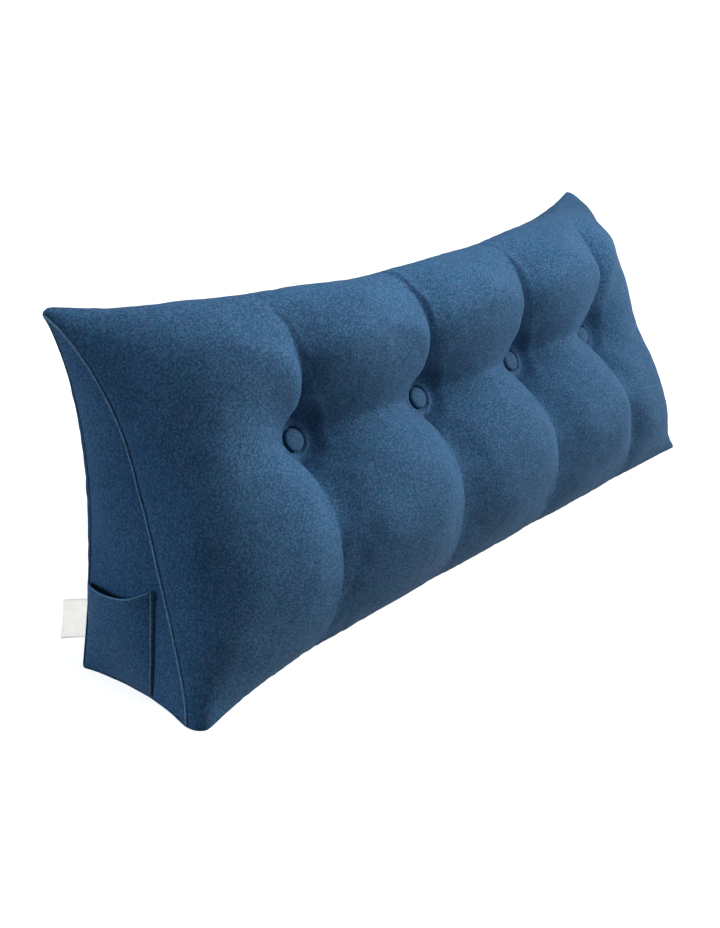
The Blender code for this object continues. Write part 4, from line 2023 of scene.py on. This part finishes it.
@dataclass(frozen=True)
class Lamp:
    """One lamp of the studio. A sun's place is only the way that it comes from."""

    name: str
    kind: LampKind
    place: Point
    width: float
    power: float
    target: Point = (0.2, 0.0, 0.25)
    colour: Colour = (1.0, 1.0, 1.0)
    label_only: bool = False
    spot_radius: float = 0.15

    def hang(self) -> bpy.types.Object:
        """Put the lamp in the scene. Its width is an angle in degrees, or a softbox's side in metres.

        Returns:
            The lamp.
        """
        data = bpy.data.lights.new(self.name, self.kind.value)
        data.energy = self.power
        data.color = self.colour
        way = Vector(self.place) - Vector(self.target)
        if self.kind is LampKind.SUN:
            data.angle = math.radians(self.width)
            way = Vector(self.place)
        elif self.kind is LampKind.SOFTBOX:
            data.size = self.width
        else:
            data.spot_size = math.radians(self.width)
            data.spot_blend = 1.0
            data.shadow_soft_size = self.spot_radius
        lamp = bpy.data.objects.new(self.name, data)
        lamp.location = self.place
        lamp.rotation_mode = "QUATERNION"
        lamp.rotation_quaternion = way.to_track_quat("Z", "Y")
        bpy.context.scene.collection.objects.link(lamp)
        return lamp


STUDIO_LAMPS = (
    Lamp("key_light", LampKind.SUN, (0.81, -0.47, 0.34), 20.0, 2.15, colour=(1.0, 0.96, 0.87)),
    Lamp("front_fill", LampKind.SUN, (0.60, -0.75, 0.25), 30.0, 0.45),
    Lamp("left_fill", LampKind.SUN, (-0.80, 0.58, 0.14), 30.0, 1.9, colour=(0.60, 0.84, 1.0)),
    Lamp("top_softbox", LampKind.SOFTBOX, (-0.15, 0.0, 1.6), 0.8, 6.8),
    Lamp("high_left_softbox", LampKind.SOFTBOX, (-0.30, 0.1, 1.2), 0.5, 1.2),
    Lamp("hung_softbox", LampKind.SOFTBOX, (0.2, -0.5, 1.7), 0.8, 3.0),
    Lamp("low_softbox", LampKind.SOFTBOX, (-0.1, -0.9, 1.2), 0.8, 3.4),
    Lamp("front_softbox", LampKind.SOFTBOX, (0.9, -1.2, 0.9), 0.8, 6.4),
    Lamp(
        "label_softbox", LampKind.SOFTBOX, (-1.30, -0.35, 0.30), 0.3, 9.0,
        target=(-0.68, 0.13, 0.07), colour=(1.0, 0.97, 0.88), label_only=True,
    ),
    Lamp("right_end_spot", LampKind.SPOT, (-0.15, -1.0, 0.70), 18.0, 27.0, target=(0.43, -0.05, 0.45)),
)


@dataclass
class Studio:
    """Pale paper floor, soft lights and the camera."""

    paper: StudioPaper
    camera_place: Point = (-1.409, -1.0295, 0.836)
    camera_right: Point = (0.65016, -0.75980, 0.0)
    camera_up: Point = (0.28464, 0.24357, 0.92717)
    lens: float = 42.56
    room_light: float = 0.10
    floor_half: float = 40.0
    floor_drop: float = 0.0005

    def build(self, label: bpy.types.Object) -> None:
        """Make the floor, the lights and the camera.

        Args:
            label: The piece that the label's own lamp shines on.
        """
        self.floor()
        lit = bpy.data.collections.new("lit_label")
        lit.objects.link(label)
        for lamp in STUDIO_LAMPS:
            hung = lamp.hang()
            if lamp.label_only:
                hung.light_linking.receiver_collection = lit
        self.room()
        bpy.context.scene.view_settings.view_transform = "Standard"
        self.camera()

    def floor(self) -> None:
        """Lay the paper, which reaches far past the view."""
        data = bpy.data.meshes.new("paper_floor")
        half = self.floor_half
        corners = [(-half, -half, 0), (half, -half, 0), (half, half, 0), (-half, half, 0)]
        data.from_pydata(corners, [], [(0, 1, 2, 3)])
        data.materials.append(self.paper.material())
        floor = bpy.data.objects.new("paper_floor", data)
        floor.location.z = -self.floor_drop
        floor.visible_diffuse = False
        bpy.context.scene.collection.objects.link(floor)
        floor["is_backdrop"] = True

    def room(self) -> None:
        """Surround the scene with a white room that lights it weakly."""
        world = bpy.data.worlds.new("pale_room")
        world.use_nodes = True
        nodes, links = world.node_tree.nodes, world.node_tree.links
        seen = nodes.new("ShaderNodeLightPath")
        strength = nodes.new("ShaderNodeMapRange")
        strength.inputs["To Min"].default_value = self.room_light
        strength.inputs["To Max"].default_value = 1.0
        links.new(seen.outputs["Is Camera Ray"], strength.inputs["Value"])
        links.new(strength.outputs["Result"], nodes["Background"].inputs["Strength"])
        nodes["Background"].inputs["Color"].default_value = (1.0, 1.0, 1.0, 1.0)
        bpy.context.scene.world = world

    def camera(self) -> None:
        """Stand the camera where the photograph was taken from."""
        data = bpy.data.cameras.new("camera")
        data.lens = self.lens
        camera = bpy.data.objects.new("camera", data)
        right, up = np.array(self.camera_right), np.array(self.camera_up)
        back = np.cross(right, up)
        camera.matrix_world = Matrix(np.column_stack([right, up, back]).tolist()).to_4x4()
        camera.location = self.camera_place
        bpy.context.scene.collection.objects.link(camera)
        bpy.context.scene.camera = camera


def report_triangles() -> None:
    """Log how many triangles each piece has."""
    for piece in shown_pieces():
        if piece.type == "MESH":
            piece.data.calc_loop_triangles()
            log.info("%s: %d triangles", piece.name, len(piece.data.loop_triangles))


def main() -> None:
    """Build the pillow's pieces in order, then the studio."""
    logging.basicConfig(level=logging.INFO, format="%(name)s: %(message)s")
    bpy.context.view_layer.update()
    form = PillowForm()
    cover_cloth = MelangeCloth(
        "cover_melange",
        deep=(0.019, 0.065, 0.136),
        middle=(0.026, 0.095, 0.184),
        drift=(0.040, 0.088, 0.194),
        pale=(0.054, 0.140, 0.268),
    )
    # Paler copy of the cover cloth: a painted highlight on the front welts, and partly wear, partly painted
    # highlight on the pocket's edges.
    highlit_worn_welt_cloth = MelangeCloth(
        "welt_highlight_and_wear_melange",
        deep=(0.090, 0.185, 0.310),
        middle=(0.120, 0.240, 0.385),
        drift=(0.130, 0.235, 0.390),
        pale=(0.180, 0.320, 0.490),
    )
    # A copy of the cover cloth, lightened in its dark tones to offset the shade in each button's pit:
    # painted light.
    shade_lifted_button_cloth = MelangeCloth(
        "button_painted_light_melange",
        deep=(0.024, 0.072, 0.144),
        middle=(0.032, 0.092, 0.176),
        drift=(0.038, 0.090, 0.180),
        pale=(0.050, 0.122, 0.230),
    )
    gusset_thread = SewingThread("blue_thread", (0.05, 0.11, 0.22))
    StuffedCover(form, cover_cloth).build()
    log.info("cover sewn and filled")
    welts = SeamWelts(form, highlit_worn_welt_cloth, cover_cloth)
    welts.build()
    log.info("seams welted")
    for number, seat in enumerate(form.seats(), start=1):
        CoveredButton(form, shade_lifted_button_cloth).build(number, seat)
    log.info("buttons sewn on")
    SidePocket(form, cover_cloth, gusset_thread, welts).build()
    label = SewnLabel(form, LabelTape("cream_tape", (0.96, 0.94, 0.86))).build()
    log.info("pocket and label sewn on")
    Studio(StudioPaper("studio_paper", (0.72, 0.72, 0.72))).build(label)
    report_triangles()


if __name__ == "__main__":
    main()
